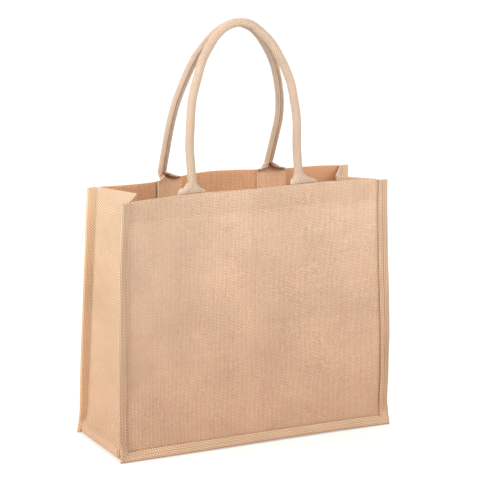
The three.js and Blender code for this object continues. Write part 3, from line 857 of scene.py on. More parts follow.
def smooth_line(points, count):
    """Points evenly spaced on a smooth line, with the directions of the line there."""
    ends = [points[0] * 2 - points[1]] + points + [points[-1] * 2 - points[-2]]
    fine = []
    for p0, p1, p2, p3 in zip(ends, ends[1:], ends[2:], ends[3:]):
        t1 = math.sqrt((p1 - p0).length)
        t2 = t1 + math.sqrt((p2 - p1).length)
        t3 = t2 + math.sqrt((p3 - p2).length)
        for step in range(STEPS_BETWEEN):
            t = lerp(t1, t2, step / STEPS_BETWEEN)
            a1 = p0.lerp(p1, t / t1)
            a2 = p1.lerp(p2, (t - t1) / (t2 - t1))
            a3 = p2.lerp(p3, (t - t2) / (t3 - t2))
            b1 = a1.lerp(a2, t / t2)
            b2 = a2.lerp(a3, (t - t1) / (t3 - t1))
            fine.append(b1.lerp(b2, (t - t1) / (t2 - t1)))
    fine.append(points[-1])
    lengths = lengths_along(fine)
    return [
        (fine[k].lerp(fine[k + 1], share), (fine[k + 1] - fine[k]).normalized())
        for k, share in stretches(lengths, spaced(0, lengths[-1], count))
    ]


# %% [markdown]
# The webbing's sheet is built in rows: up one tab, through its throat, along the whole grip, and
# down the other end in the same way. The tab lies flat on the hem, and the throat is where its
# edges begin to curl.

# %% Tabs and throats
TAB_ROWS = 7
THROAT_ROWS = 13
TAB_OFF = 1.5 * JUTE + GAP + WEBBING / 2  # from the middle of the panel's cloth
HELD_TO = 17.5  # the upright rows of stitches, from the tab's middle
BOW_LOW = 0.7  # the throat's slack hangs below its middle


def tab_y(side, x, z):
    return panel_y(side, x, z) - side * TAB_OFF


def off_cloth(handle, hand, across, roll):
    """How far the tab's left edge, outside its stitches, stands off the cloth."""
    loose = max(-hand * across - HELD_TO, 0) / (TAB_WIDTH / 2 - HELD_TO)
    return handle["lift"][hand] * loose * (1 - roll)


def handle_end(handle, hand):
    """Rows of the flat tab and the throat, from the tab's lower edge up to the grip."""
    side = handle["side"]
    tab = handle["tabs"][hand]
    foot_x = handle["line"][0 if hand == LEFT else -1][0]
    rim = lifted(side, tab, RIM)
    slope = (tab_y(side, tab + 1, RIM) - tab_y(side, tab - 1, RIM)) / 2
    rows = []
    for z in spaced(rim - TAB_BELOW_RIM, rim + handle["flat_top"], TAB_ROWS):
        row = []
        for across, off in rolled_section(0):
            x = tab + hand * across
            off += off_cloth(handle, hand, across, 0)
            row.append(Vector((x, tab_y(side, x, z) - side * off, z)))
        rows.append(row)
    for share in spaced(0, 1, THROAT_ROWS)[1:]:
        opened = max(share - handle["wide"], 0) / (1 - handle["wide"])
        roll = 1 - (1 - opened) ** handle["closing"]
        z = rim + handle["flat_top"] + share * handle["throat"]
        across_way = Vector((1, slope * (1 - roll), 0)).normalized() * hand
        inwards = Vector((across_way.y, -across_way.x, 0)) * (hand * side)
        pushed = handle["slack"] * math.sin(math.pi * share ** BOW_LOW) ** 2
        middle = Vector((lerp(tab, foot_x, roll), tab_y(side, tab, RIM) - side * pushed, z))
        rows.append([
            middle + across_way * across + inwards * (off + off_cloth(handle, hand, across, roll))
            for across, off in rolled_section(roll)
        ])
    return rows


# %% [markdown]
# The grip keeps one round cross-section, turned at each step so that its seam stays on the side
# that faces the inside of the bag.

# %% Grips
GRIP_ROWS = 150


def grip_rows(handle):
    """Rows round the rolled grip, from its left foot over the top to its right foot."""
    side = handle["side"]
    line = handle["line"]
    lowest = line[0][1]
    tallest = max(z for x, z in line)
    points = []
    for x, z in line:
        tab = handle["tabs"][LEFT if x < 0 else RIGHT]
        start = tab_y(side, tab, RIM) - side * GRIP_RADIUS
        y = lerp(start, handle["top_depth"], (z - lowest) / (tallest - lowest))
        points.append(Vector((x, y, z)))
    section = rolled_section(1)
    rows = []
    for centre, along in smooth_line(points, GRIP_ROWS):
        inwards = Vector((0, -side, 0))
        inwards = (inwards - along * inwards.dot(along)).normalized()
        across_way = along.cross(inwards) * -side
        rows.append([
            centre + across_way * across + inwards * (off - GRIP_RADIUS) for across, off in section
        ])
    return rows


def webbing(name, handle):
    rows = handle_end(handle, LEFT) + grip_rows(handle) + handle_end(handle, RIGHT)[::-1]
    flat_u = [across for across, off in rolled_section(0)]
    flat_v = lengths_along([row[len(row) // 2] for row in rows])
    return sheet_from(name, rows, flat_u, flat_v, BAND, even=False), flat_v[-1]


front_handle, front_length = webbing("handle_front_webbing", HANDLES["handle_front"])
back_handle, back_length = webbing("handle_back_webbing", HANDLES["handle_back"])
print("webbing lengths", round(front_length), round(back_length), "mm")

# %% [markdown]
# ## The thread
#
# A sewing machine leaves a row of short stitches, each dipping into the cloth at both ends. One
# stitch is modelled as a stretched ball, and the rest are copies of its mesh laid along the seams
# and joined into one piece a seam.

# %% One stitch
STITCH = 3.3
THREAD = 0.42
DIP = 1.1 * THREAD  # how deep the ends of a stitch go down

deselect_all()
bpy.ops.mesh.primitive_uv_sphere_add(segments=6, ring_count=5, radius=1.0)
model_stitch = bpy.context.object
bpy.ops.object.mode_set(mode="EDIT")
bpy.ops.transform.rotate(
    value=math.pi / 2, orient_axis="Y", orient_type="GLOBAL", center_override=(0, 0, 0)
)
bpy.ops.transform.resize(value=(STITCH / 2, THREAD, THREAD))
bpy.ops.object.mode_set(mode="OBJECT")
stitch_points = [vert.co.copy() for vert in model_stitch.data.vertices]
for point in stitch_points:
    point.z -= DIP * (abs(point.x) / (STITCH / 2)) ** 2
stitch_faces = [list(face.vertices) for face in model_stitch.data.polygons]
bpy.data.objects.remove(model_stitch)
print("a stitch has", len(stitch_faces), "faces")

# %% [markdown]
# A seam is a list of places with the way out of the cloth at each. The stitches are laid end to end
# along it, with a small gap where the thread goes down.

# %% Rows of stitches
SEAM_PITCH = 4.0
GRIP_PITCH = 4.4


def joined_copies(name, copies, model_faces):
    """One piece from copies of a small model. A copy is the list of its points, in metres."""
    size = len(copies[0])
    faces = [
        [corner + size * number for corner in face]
        for number in range(len(copies)) for face in model_faces
    ]
    mesh = bpy.data.meshes.new(name)
    mesh.from_pydata([point[:] for copy in copies for point in copy], [], faces)
    return placed_piece(mesh)


def seam_of(name, paths, pitch=SEAM_PITCH):
    """Stitches at every pitch along each path of (place, outwards), in millimetres."""
    stitches = []
    for path in paths:
        lengths = lengths_along([place for place, outwards in path])
        count = max(int(lengths[-1] / pitch), 1)
        middles = [(stitch + 0.5) * lengths[-1] / count for stitch in range(count)]
        for k, share in stretches(lengths, middles):
            (start, start_out), (end, end_out) = path[k:k + 2]
            centre = start.lerp(end, share)
            along = (end - start).normalized()
            outwards = start_out.lerp(end_out, share)
            outwards = (outwards - along * outwards.dot(along)).normalized()
            across = outwards.cross(along)
            stitches.append([
                (centre + along * point.x + across * point.y + outwards * point.z) * MM
                for point in stitch_points
            ])
    piece = joined_copies(name, stitches, stitch_faces)
    bpy.ops.object.shade_smooth()
    return piece


# %% [markdown]
# The hem's row runs 28 mm below the rim and shows on both faces of the panel. Each handle's tab is
# held by a box of stitches, which shows on the outside of the panel as well.

# %% Stitches of the panels
HEM_STITCH = 28
HEM_PLACES = 90
PROUD = 0.1  # how far a thread's middle lies over the cloth
HALF_SHEET = SHEET / 2
HEM_FACE = 2 * FOLD_RADIUS + HALF_SHEET + PROUD  # from the middle of a cloth to its hem's far face
BOX_TOP = 5
BOX_BOTTOM = 31
TAB_BOX = [
    (-HELD_TO, BOX_TOP), (HELD_TO, BOX_TOP), (HELD_TO, BOX_BOTTOM), (-HELD_TO, BOX_BOTTOM),
    (-HELD_TO, BOX_TOP),
]


def on_panel(side, x, below_rim, off):
    """A place off millimetres out of the panel's middle plane, below_rim down from its rim."""
    z = RIM - below_rim
    slope_x = panel_y(side, x + 1, z) - panel_y(side, x - 1, z)
    slope_z = panel_y(side, x, z + 1) - panel_y(side, x, z - 1)
    outwards = Vector((-slope_x / 2, 1, -slope_z / 2)).normalized() * side
    place = Vector((x, panel_y(side, x, z), lifted(side, x, z)))
    return place + outwards * off, outwards if off > 0 else -outwards


def panel_stitches(name, handle):
    side = handle["side"]
    outside = HALF_SHEET + PROUD
    edge = MOUTH_HALF_WIDTH - HEM_CLEAR_OF_SEAM
    paths = [
        [on_panel(side, x, HEM_STITCH, off) for x in spaced(-edge, edge, HEM_PLACES)]
        for off in (outside, -HEM_FACE)
    ]
    for tab in handle["tabs"].values():
        for off in (outside, -(TAB_OFF + BAND / 2 + PROUD)):
            for (x0, z0), (x1, z1) in zip(TAB_BOX, TAB_BOX[1:]):
                paths.append([
                    on_panel(side, tab + lerp(x0, x1, share), lerp(z0, z1, share), off)
                    for share in spaced(0, 1, 9)
                ])
    return seam_of(name, paths)


front_stitches = panel_stitches("front_hem_stitches", HANDLES["handle_front"])
back_stitches = panel_stitches("back_hem_stitches", HANDLES["handle_back"])

# %% [markdown]
# The fins are stitched through 3 mm from their turned edges, down one side, along the base and up
# the other. The row on a fin's front face and the row on its back face are the same thread.

# %% Stitches of the fins
SUNK = 0.05  # a fin's thread is pulled in deeper than the others
FIN_OFFS = (OVER - OUTER_SINK + HALF_SHEET + SUNK, INNER_SINK - FOLD_MIDDLE - HALF_SHEET - SUNK)


def fin_stitches(name, side):
    paths = []
    for stations in (LEFT_SIDE, BASE, RIGHT_SIDE):
        for off in FIN_OFFS:
            path = []
            for station in stations:
                middle = in_the_air(station, *on_fin(station, side, STITCH_AT, 0))
                place = in_the_air(station, *on_fin(station, side, STITCH_AT, off))
                path.append((place, place - middle))
            paths.append(path)
    return seam_of(name, paths)


front_fin_stitches = fin_stitches("front_fin_stitches", FRONT)
back_fin_stitches = fin_stitches("back_fin_stitches", BACK)

# %% [markdown]
# The strip's hems are stitched like those of the panels, on both faces. Each grip is sewn shut
# along the lips of its roll, on the side that faces the inside of the bag.

# %% Stitches of the strip's hems and of the grips
SHORT_OF_FIN = 3  # points of the wall that the hem's row leaves free beside each fin
LIP = CURL_POINTS - 1  # points from the middle of the webbing to where its edge turns in


def strip_hem_stitches(name):
    paths = []
    for hand in (LEFT, RIGHT):
        station = side_station(hand, RIM - HEM_STITCH)
        for inwards, outwards in ((-HALF_SHEET - PROUD, hand), (HEM_FACE, -hand)):
            row = strip_hem_row(station, inwards, 0)[SHORT_OF_FIN:-SHORT_OF_FIN]
            paths.append([(point, Vector((outwards, 0, 0))) for point in row])
    return seam_of(name, paths)


def grip_stitches(name, handle):
    path = []
    for row in grip_rows(handle):
        middle = len(row) // 2
        lips = (row[middle - LIP] + row[middle + LIP]) / 2
        outwards = (lips - row[middle]).normalized()
        path.append((lips + outwards * (BAND / 2 - PROUD), outwards))
    return seam_of(name, [path], pitch=GRIP_PITCH)


gusset_stitches = strip_hem_stitches("gusset_hem_stitches")
front_grip_stitches = grip_stitches("front_grip_stitches", HANDLES["handle_front"])
back_grip_stitches = grip_stitches("back_grip_stitches", HANDLES["handle_back"])

# %% [markdown]
# ## Fuzz
#
# Jute is spun from short stiff fibres, and some ends stand out of the yarns. One fibre is modelled
# as a thin three-sided rod that bends along its length, and copies of its mesh are set on the cloth
# at chance places, leaning at chance angles, and joined into one piece a cloth. The chance numbers
# are seeded, so the fuzz is the same each time.

# %% One fibre
FIBRE = 0.09
FIBRE_PARTS = 3
FIBRE_TAPER = 0.7

deselect_all()
bpy.ops.mesh.primitive_cylinder_add(vertices=3, radius=1.0, depth=1.0, location=(0, 0, 0.5))
model_fibre = bpy.context.object
bpy.ops.object.mode_set(mode="EDIT")
for part in range(1, FIBRE_PARTS):
    bpy.ops.mesh.select_all(action="SELECT")
    bpy.ops.mesh.bisect(plane_co=(0, 0, part / FIBRE_PARTS), plane_no=(0, 0, 1))
bpy.ops.object.mode_set(mode="OBJECT")
fibre_points = []
for vert in model_fibre.data.vertices:
    height = vert.co.z + 0.5
    thin = 1 - FIBRE_TAPER * height
    fibre_points.append((vert.co.x * thin, vert.co.y * thin, height))
fibre_faces = [list(face.vertices) for face in model_fibre.data.polygons]
bpy.data.objects.remove(model_fibre)
print("a fibre has", len(fibre_faces), "faces")

# %% [markdown]
# The ends are 1.5 to 5.5 mm long and lean over by 25 to 80 degrees. Those nearest the floor are
# left out, because they would poke through it.

# %% Fibres on the cloths
FIBRE_BEND = 0.25
FIBRE_LENGTHS = (1.5, 5.5)
FIBRE_LEANS = (25, 80)
CLEAR_OF_FLOOR = 0.008
ON_PANEL = 420
ON_GUSSET = 520


def fuzz_of(name, cloth, count, seed):
    """One mesh of count fibres that stand out of a cloth."""
    chance = random.Random(seed)
    faces = cloth.data.polygons
    fibres = []
    while len(fibres) < count:
        face = faces[chance.randrange(len(faces))]
        if face.center.z < CLEAR_OF_FLOOR:
            continue
        any_way = Vector([chance.uniform(-1, 1) for _ in range(3)])
        sideways = face.normal.cross(any_way).normalized()
        lean = math.radians(chance.uniform(*FIBRE_LEANS))
        along = face.normal * math.cos(lean) + sideways * math.sin(lean)
        bend_way = face.normal * math.sin(lean) - sideways * math.cos(lean)
        across = along.cross(bend_way)
        length = chance.uniform(*FIBRE_LENGTHS)
        bend = chance.uniform(-1, 1) * FIBRE_BEND * length
        fibre_at = []
        for a, b, height in fibre_points:
            away = along * (height * length) + across * (a * FIBRE)
            away += bend_way * (b * FIBRE + bend * height ** 2)
            fibre_at.append(face.center + away * MM)
        fibres.append(fibre_at)
    return joined_copies(name, fibres, fibre_faces)


front_fuzz = fuzz_of("front_panel_fuzz", front_panel, ON_PANEL, 1)
back_fuzz = fuzz_of("back_panel_fuzz", back_panel, ON_PANEL, 2)
gusset_fuzz = fuzz_of("gusset_fuzz", gusset, ON_GUSSET, 3)

# %% [markdown]
# ## Materials
#
# Colours are written as the eye knows them, in sRGB hex, and one function turns them to the linear
# values that the renderer adds up. One small function adds a node with its settings and links.

# %% Helpers for materials
def linear(code):
    parts = [int(code[k:k + 2], 16) / 255 for k in (1, 3, 5)]
    return tuple(p / 12.92 if p <= 0.04045 else ((p + 0.055) / 1.055) ** 2.4 for p in parts) + (1.0,)


def add_node(tree, kind, inputs=(), **settings):
    """Adds a node, sets its properties, then sets each input or links another node to it.

    inputs: values by the names of the sockets, or in the order in which the node shows them. A node
    that is given as a value links by the first output that it shows.
    """
    node = tree.nodes.new("ShaderNode" + kind)
    for name, value in settings.items():
        setattr(node, name, value)
    if isinstance(inputs, dict):
        pairs = [(node.inputs[name], value) for name, value in inputs.items()]
    else:
        pairs = zip([socket for socket in node.inputs if socket.enabled], inputs)
    for socket, value in pairs:
        if isinstance(value, bpy.types.Node):
            value = next(output for output in value.outputs if output.enabled)
        if isinstance(value, bpy.types.NodeSocket):
            tree.links.new(value, socket)
        else:
            socket.default_value = value
    return node


def new_material(name):
    """An empty material, and the tool that adds nodes to it."""
    material = bpy.data.materials.new(name)
    material.use_nodes = True
    material.node_tree.nodes.clear()
    return material, partial(add_node, material.node_tree)


# %% [markdown]
# ### Woven jute
#
# Jute is spun thick and uneven, and woven one over, one under. The pattern below makes that weave
# from the cloth's own flat map: a sine across each yarn gives its round back, and a sine along it
# takes it over and under its neighbours. The yarns lie 1.9 mm apart, and slow noise keeps them from
# running quite straight.

# %% Yarns over and under
WAVERING = (70, 2)  # patches in a metre of cloth, and the detail of the noise


def patches(add, cloth, scale, detail=3, stretch=(1, 1)):
    """Soft noise between 0 and 1 over the flat cloth, with scale patches in a metre."""
    placed = add("Mapping", {"Vector": cloth, "Scale": (*stretch, 1)})
    return add(
        "TexNoise", {"Vector": placed, "Scale": scale, "Detail": detail}, noise_dimensions="2D"
    )


def woven_yarns(add, cloth, pitch, wander):
    """The relief, whether an upright yarn lies on top, and the numbers of the two yarns."""
    flat = add("SeparateXYZ", (cloth,))
    counts = []
    for axis, stretch in (("X", (1, 0.3)), ("Y", (0.3, 1))):
        straight = add("Math", (flat.outputs[axis], pitch), operation="DIVIDE")
        drift = add(
            "Math", (patches(add, cloth, *WAVERING, stretch), 0.5), operation="SUBTRACT"
        )
        counts.append(add("Math", (drift, wander, straight), operation="MULTIPLY_ADD"))
    turns = [add("Math", (count, math.pi), operation="MULTIPLY") for count in counts]
    across, along = [add("Math", (turn,), operation="SINE") for turn in turns]
    lies = []
    for back, wave, over in ((across, along, 0.5), (along, across, -0.5)):
        way = add("Math", (add("Math", (back,), operation="SIGN"), wave), operation="MULTIPLY")
        on_top = add("Math", (way, over, 0.5), operation="MULTIPLY_ADD")
        rounded = add("Math", (back,), operation="ABSOLUTE")
        lies.append(add("Math", (rounded, on_top), operation="MULTIPLY"))
    relief = add("Math", lies, operation="MAXIMUM")
    warp_up = add("Math", lies, operation="GREATER_THAN")
    return relief, warp_up, [add("Math", (count,), operation="FLOOR") for count in counts]


# %% [markdown]
# From a distance, what shows is that the yarns across lie a little darker than the upright ones, so
# the cloth is dotted along its diagonals, in some places more clearly than in others. No two
# crossings are quite alike, and some yarns are thick and pale for a stretch.

# %% Tones of the yarns
CLEARNESS = (45, 3)
CLEARNESS_RANGE = (0.65, 1.35)
PATCH_EDGES = (0.35, 0.65)  # where the noise counts as fully out of a patch, and fully in one
WARP_SLUBS = (420, 16)  # slubs in a metre across the yarns, and along them
WEFT_SLUBS = (14, 460)
OWN_CHANCE = 0.37  # keeps the yarns across unlike the upright ones


def yarn_tones(add, cloth, warp_up, yarns, mix):
    """A tone from 0, dark, to 1, pale.

    mix: how far the upper yarn's direction, each crossing, each yarn and its slubs change it.
    """
    crossing = add("CombineXYZ", yarns)
    one_crossing = add("TexWhiteNoise", (crossing,), noise_dimensions="2D")
    warp = add("TexWhiteNoise", (yarns[0],), noise_dimensions="1D")
    weft = add("Math", (yarns[1], OWN_CHANCE), operation="ADD")
    weft = add("TexWhiteNoise", (weft,), noise_dimensions="1D")
    one_yarn = add("Mix", (warp_up, weft, warp))
    slubs = [patches(add, cloth, 1, 1, stretch) for stretch in (WEFT_SLUBS, WARP_SLUBS)]
    slub = add("Mix", (warp_up, *slubs))
    clearest = [mix[0] * share for share in CLEARNESS_RANGE]
    clearness = add("MapRange", (patches(add, cloth, *CLEARNESS), *PATCH_EDGES, *clearest))
    tone = 0.5
    for part, share in zip((warp_up, one_crossing, one_yarn, slub), (clearness, *mix[1:])):
        part = add("Math", (part, 0.5), operation="SUBTRACT")
        tone = add("Math", (part, share, tone), operation="MULTIPLY_ADD")
    return tone


# %% [markdown]
# One batch of yarn is a little rosier or more like straw than the next. The cloth is painted darker
# and warmer at its foot and paler at its rim: painted shade and painted light from above. The hem
# is painted a little darker, as painted shade for the double cloth that lets less light through, and
# faces that look into the bag are painted a warmer brown, as painted bounce light from cloth to
# cloth. Each of these is a tint that the colour is multiplied by, as far as its own share says.

# %% Tints of the cloth
CLOUDS = (16, 3)
CLOUD_EDGES = (0.3, 0.7)
CLOUD_RANGE = (0.94, 1.05)
BATCHES = (33, 3)
ROSY = (1.018, 0.988, 0.985, 1.0)
STRAW = (0.985, 1.0, 0.975, 1.0)
LOOKS_IN = (-0.5, -0.9)
# painted bounce light and shade: faces that look into the bag are painted warmer and less blue
PAINTED_BOUNCE_INSIDE_TINT = (1.12, 0.93, 0.75, 1.0)
HEM_LINE = ((RIM - HEM - 1) * MM, (RIM - HEM + 2) * MM)
# painted shade: the hem, above its lower edge, is painted a little darker
PAINTED_HEM_SHADE_TINT = (0.94, 0.925, 0.91, 1.0)


def cloth_tints(add, cloth, facing, low, high, hemmed):
    """Pairs of a share and a tint.

    facing: what x and y are multiplied by to give one at the walls, which tells a face that looks
    into the bag for its painted bounce light. low, high: heights and the tints there; on the jute,
    painted shade at the foot and painted light at the rim. hemmed: whether the hem gets its painted
    shade.
    """
    place = add("TexCoord").outputs["Object"]
    up = add("SeparateXYZ", (place,)).outputs["Z"]
    cloud = add("MapRange", (patches(add, cloth, *CLOUDS), *CLOUD_EDGES, *CLOUD_RANGE))
    batch = add("MapRange", (patches(add, cloth, *BATCHES), *PATCH_EDGES))
    weighed = add("VectorMath", (place, (*facing, 0)), operation="MULTIPLY")
    normal = add("NewGeometry").outputs["True Normal"]
    outwards = add("VectorMath", (weighed, normal), operation="DOT_PRODUCT")
    height = add("MapRange", (up, low[0] * MM, high[0] * MM))
    tints = [
        (1.0, cloud),
        (1.0, add("Mix", (batch, ROSY, STRAW), data_type="RGBA")),
        # painted bounce light on faces that look into the bag
        (add("MapRange", (outwards, *LOOKS_IN)), PAINTED_BOUNCE_INSIDE_TINT),
        # by height, from the low tint to the high one: on the jute, painted shade at the foot and
        # painted light at the rim
        (1.0, add("Mix", (height, low[1] + (1.0,), high[1] + (1.0,)), data_type="RGBA")),
    ]
    # the hem's painted shade
    if hemmed:
        tints.append((add("MapRange", (up, *HEM_LINE)), PAINTED_HEM_SHADE_TINT))
    return tints


# %% [markdown]
# The strip has tints of its own, which follow its flat map from the edge inwards: the turned edge
# at the root of a fin is painted dark, as painted shadow, and the outer layer is a little darker. On
# the back fins the layer behind it is painted paler, as painted light, and on the fins along the base
# the outer layer is painted paler instead, as painted light from above.

# %% Tints of the strip
TURNED_EDGE = (0.0050, 0.0064)
# painted shadow: the turned edge at a fin's root is painted dark
PAINTED_ROOT_SHADOW_TINT = (0.55, 0.47, 0.42, 1.0)
OUTER_LAYER = 0.0155
# the fins' outer layer, a little darker
OUTER_TINT = (0.95, 0.91, 0.89, 1.0)
# painted light: the fins along the base are painted paler, as if lit from above
PAINTED_LIGHT_BASE_FIN_TINT = (1.15, 1.22, 1.28, 1.0)
NEAR_FLOOR = (0.022, 0.014)
INNER_LAYER = (0.0155, 0.0305)
# painted light: the back fin's visible layer is painted paler, as if catching light from the left
PAINTED_LIGHT_BACK_FIN_TINT = (1.22, 1.2, 1.14, 1.0)


def strip_tints(add, cloth, width):
    place = add("TexCoord").outputs["Object"]
    up = add("SeparateXYZ", (place,)).outputs["Z"]
    low = add("MapRange", (up, *NEAR_FLOOR))
    across = add("SeparateXYZ", (cloth,)).outputs["X"]
    from_middle = add("Math", (across, width / 2), operation="SUBTRACT")
    from_middle = add("Math", (from_middle,), operation="ABSOLUTE")
    outer = add("Math", (from_middle, width / 2 - OUTER_LAYER), operation="GREATER_THAN")
    # near the floor the outer layer takes the painted light of the base fins
    outer_tint = add("Mix", (low, OUTER_TINT, PAINTED_LIGHT_BASE_FIN_TINT), data_type="RGBA")
    bands = []
    for measure, whole, (start, end) in (
        (from_middle, width / 2, TURNED_EDGE), (across, width, INNER_LAYER)
    ):
        middle = whole - (start + end) / 2
        bands.append(add("Math", (measure, middle, (end - start) / 2), operation="COMPARE"))
    high = add("Math", (1.0, low), operation="SUBTRACT")
    # the painted shadow of the turned edge, kept off the base
    turned = add("Math", (bands[0], high), operation="MULTIPLY")
    return [(outer, outer_tint), (turned, PAINTED_ROOT_SHADOW_TINT), (bands[1], PAINTED_LIGHT_BACK_FIN_TINT)]


# %% [markdown]
# The finish is matt, with a soft sheen from the loose fibres and a relief of a tenth of a
# millimetre. The cotton webbing is woven in the same way, finer and more evenly. Its real yarns
# would be too fine to show, so they are drawn 1.7 mm apart.

# %% Woven cloths
RELIEF = 0.00012
FINEST = (1800, 2)
FINEST_SHARE = 0.35
YARN_EDGES = (0.25, 0.75)  # the relief at the bottom of a hole, and on top of a yarn


def woven(name, colours, pitch, wander, mix, sheen, facing, low, high, hemmed=False, strip=0.0):
    """Plain weave in the colours of its holes and of dark, middling and pale yarns.

    pitch: from yarn to yarn, in metres. wander: how far the yarns stray, in yarns. strip: the
    width of a strip that has fins along its edges. The rest is said in the functions above.
    """
    material, add = new_material(name)
    hole, dark, yarn, pale = [linear(code) for code in colours]
    cloth = add("UVMap", uv_map="cloth")
    relief, warp_up, yarns = woven_yarns(add, cloth, pitch, wander)
    tones = add("ValToRGB", (yarn_tones(add, cloth, warp_up, yarns, mix),))
    tones.color_ramp.elements[0].color = dark
    tones.color_ramp.elements[1].color = pale
    tones.color_ramp.elements.new(0.5).color = yarn
    # the holes' darker colour: partly the dark seen through the open weave, partly painted shade in
    # the hollows between the yarns
    depth = add("MapRange", (relief, *YARN_EDGES))
    colour = add("Mix", (depth, hole, tones), data_type="RGBA")
    tints = cloth_tints(add, cloth, facing, low, high, hemmed)
    if strip:
        tints += strip_tints(add, cloth, strip)
    for share, tint in tints:
        colour = add("Mix", (share, colour, tint), data_type="RGBA", blend_type="MULTIPLY")
    surface = add(
        "Math", (patches(add, cloth, *FINEST), FINEST_SHARE, relief), operation="MULTIPLY_ADD"
    )
    bump = add("Bump", {"Height": surface, "Distance": RELIEF, "Strength": 0.7})
    shader = add("BsdfPrincipled", {
        "Base Color": colour, "Roughness": 0.8, "Specular IOR Level": 0.3,
        "Sheen Weight": sheen, "Sheen Roughness": 0.6, "Normal": bump,
    })
    add("OutputMaterial", {"Surface": shader})
    return material


# Heights and their tints: the jute with painted shade at its foot and painted light at its rim,
# and the cotton, paler in its tabs and darker above the rim on its grips
PAINTED_SHADE_AT_FOOT = (0, (0.97, 0.865, 0.79))
PAINTED_LIGHT_AT_RIM = (RIM, (1.02, 1.05, 1.06))
TAB = (RIM - 6, (1.0, 1.0, 1.0))
# darker above the rim, on the grips
DARKER_ON_GRIPS = (RIM + 6, (0.73, 0.71, 0.69))
jute = woven(
    "plain_woven_jute", ("#9f806b", "#b99b82", "#d4b197", "#e8c8ad"), pitch=0.0019, wander=0.3,
    mix=(0.9, 0.7, 0.3, 0.45), sheen=0.12, facing=(0, 20), low=PAINTED_SHADE_AT_FOOT, high=PAINTED_LIGHT_AT_RIM, hemmed=True,
)
gusset_jute = woven(
    "plain_woven_jute_strip", ("#907562", "#b0967a", "#d0b092", "#e8caac"), pitch=0.0019,
    wander=0.4, mix=(1.8, 0.8, 0.3, 0.45), sheen=0.12, facing=(5.5, 0), low=PAINTED_SHADE_AT_FOOT, high=PAINTED_LIGHT_AT_RIM,
    strip=strip_width * MM,
)
cotton = woven(
    "cotton_webbing", ("#a98e79", "#c6ad96", "#dfc8b2", "#f3e0ce"), pitch=0.0017, wander=0.15,
    mix=(1.1, 0.8, 0.2, 0.3), sheen=0.2, facing=(0, 20), low=TAB, high=DARKER_ON_GRIPS,
)
print("materials of the cloths:", jute.name, gusset_jute.name, cotton.name)

# %% [markdown]
# ### Thread and loose fibre
#
# Both are spun from matt fibres and twisted too fine to see, so a fine noise only makes them a
# little uneven, in colour and in relief.

# %% Thread
def spun_thread(name, colour, pale):
    material, add = new_material(name)
    place = add("TexCoord").outputs["Object"]
    uneven = add("TexNoise", {"Vector": place, "Scale": 900, "Detail": 1})
    tones = add("ValToRGB", (uneven,))
    tones.color_ramp.elements[0].color = linear(colour)
    tones.color_ramp.elements[1].color = linear(pale)
    bump = add("Bump", {"Height": uneven, "Distance": 0.0001, "Strength": 0.4})
    shader = add("BsdfPrincipled", {
        "Base Color": tones, "Roughness": 0.8, "Sheen Weight": 0.1, "Normal": bump,
    })
    add("OutputMaterial", {"Surface": shader})
    return material


thread = spun_thread("spun_cotton_thread", "#c9a684", "#e2c6a8")
fibre = spun_thread("loose_jute_fibre", "#caa684", "#f0dcc0")
print("materials of the small pieces:", thread.name, fibre.name)

# %% [markdown]
# ## Everything in its place
#
# Every piece gets its material and rides on the bag's one body. Each sheet takes the place of its
# plain solid.

PANEL_FLAT = (0.400, 0.378)
GUSSET_FLAT = (0.196, 1.130)
CLOTHS = (
    (front_panel, "front_panel", jute, "jute", PANEL_FLAT, "stretched", "gusset_cloth"),
    (back_panel, "back_panel", jute, "jute", PANEL_FLAT, "stretched", "gusset_cloth"),
    (gusset, "gusset", gusset_jute, "jute_gusset", GUSSET_FLAT, "folded", None),
    (front_handle, "handle_front", cotton, "cotton_webbing",
     (TAB_WIDTH * MM, front_length * MM), "folded", "front_panel_cloth"),
    (back_handle, "handle_back", cotton, "cotton_webbing",
     (TAB_WIDTH * MM, back_length * MM), "folded", "back_panel_cloth"),
)
for piece, node_name, material, slot_name, flat_size, held, carrier in CLOTHS:
    piece.data.materials.append(material)
    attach(piece, "root")
    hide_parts(node_name)

SMALL_PIECES = (
    (front_stitches, thread, "jute"),
    (back_stitches, thread, "jute"),
    (front_fin_stitches, thread, "jute_gusset"),
    (back_fin_stitches, thread, "jute_gusset"),
    (gusset_stitches, thread, "jute_gusset"),
    (front_grip_stitches, thread, "cotton_webbing"),
    (back_grip_stitches, thread, "cotton_webbing"),
    (front_fuzz, fibre, "jute"),
    (back_fuzz, fibre, "jute"),
    (gusset_fuzz, fibre, "jute_gusset"),
)
for piece, material, slot_name in SMALL_PIECES:
    piece.data.materials.append(material)
    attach(piece, "root")
print(len(CLOTHS), "cloths and", len(SMALL_PIECES), "small pieces")

# %% [markdown]
# ## The studio
#
# The photograph shows the bag alone on white, so the floor and backdrop are one pale sheet that
# curves up behind the bag. A bright sky lights it from everywhere. A strip of light over the front
# and one over the left side make both a little paler towards the rim, a large window on the left
# makes the left side the lightest, and a lamp behind clears the floor of shadow. The paper glows a
# little, like a light table, which keeps the line under the base thin. All lights are soft, so
# nothing throws a hard shadow, and none shows in the picture.

# %% Floor and backdrop
SWEEP_WIDTH = 12.0
SWEEP_FRONT = -6.0
SWEEP_BACK = 4.0
SWEEP_HEIGHT = 6.0
SWEEP_CURVE = 2.0
SWEEP_STEPS = 24

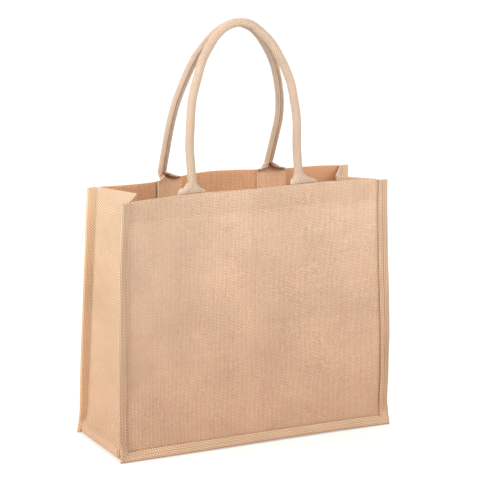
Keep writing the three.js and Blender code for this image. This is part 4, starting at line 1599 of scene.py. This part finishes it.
outline = [(SWEEP_FRONT, 0.0), (SWEEP_BACK - SWEEP_CURVE, 0.0)]
for step in range(1, SWEEP_STEPS + 1):
    turn = math.radians(90 * step / SWEEP_STEPS)
    outline.append((
        SWEEP_BACK - SWEEP_CURVE * (1 - math.sin(turn)), SWEEP_CURVE * (1 - math.cos(turn)),
    ))
outline.append((SWEEP_BACK, SWEEP_HEIGHT))
sweep_points = [(x, y, z) for y, z in outline for x in (-SWEEP_WIDTH / 2, SWEEP_WIDTH / 2)]
sweep_faces = [(2 * k, 2 * k + 1, 2 * k + 3, 2 * k + 2) for k in range(len(outline) - 1)]
sweep_mesh = bpy.data.meshes.new("floor_and_backdrop")
sweep_mesh.from_pydata(sweep_points, [], sweep_faces)
sweep = placed_piece(sweep_mesh)
sweep.rotation_euler.z = AZIMUTH
bpy.ops.object.shade_smooth()

paper, add = new_material("white_paper")
paper_shader = add("BsdfPrincipled", {
    "Base Color": (0.55, 0.55, 0.55, 1.0), "Roughness": 0.9,
    "Emission Color": (1.0, 0.99, 0.97, 1.0), "Emission Strength": 0.4,
})
add("OutputMaterial", {"Surface": paper_shader})
sweep.data.materials.append(paper)

# %% [markdown]
# Each lamp is a soft rectangle that looks at its aim. The camera doesn't see it.

# %% Light
SKY = (1.0, 0.985, 0.96, 1.0)
SKY_STRENGTH = 0.55
WARM_WHITE = (1.0, 0.99, 0.97)
LAMPS = {  # name: place, aim, width and height, power
    "front_strip": ((0.3, -0.8, 0.95), (0.3, 0, 0.95), (1.2, 0.4), 11.5),
    "left_strip": ((-1.1, 0.0, 0.95), (0, 0, 0.95), (0.8, 0.4), 10),
    "left_window": ((-2.6, -0.7, 1.0), (0, 0, 0.2), (1.4, 1.4), 39),
    "back_lamp": ((0.3, 2.0, 2.2), (0, 0, 0.2), (1.4, 1.4), 60),
}

world = bpy.data.worlds.new("studio")
bpy.context.scene.world = world
world.use_nodes = True
sky = world.node_tree.nodes["Background"]
sky.inputs["Color"].default_value = SKY
sky.inputs["Strength"].default_value = SKY_STRENGTH

for lamp_name, (place, aim, size, power) in LAMPS.items():
    lamp = bpy.data.lights.new(lamp_name, "AREA")
    lamp.shape = "RECTANGLE"
    lamp.size, lamp.size_y = size
    lamp.energy = power
    lamp.color = WARM_WHITE
    holder = bpy.data.objects.new(lamp_name, lamp)
    holder.location = place
    holder.visible_camera = False
    holder.rotation_euler = (Vector(aim) - Vector(place)).to_track_quat("-Z", "Y").to_euler()
    bpy.context.scene.collection.objects.link(holder)

bpy.context.scene.view_settings.view_transform = "Standard"
print("lamps:", ", ".join(LAMPS))
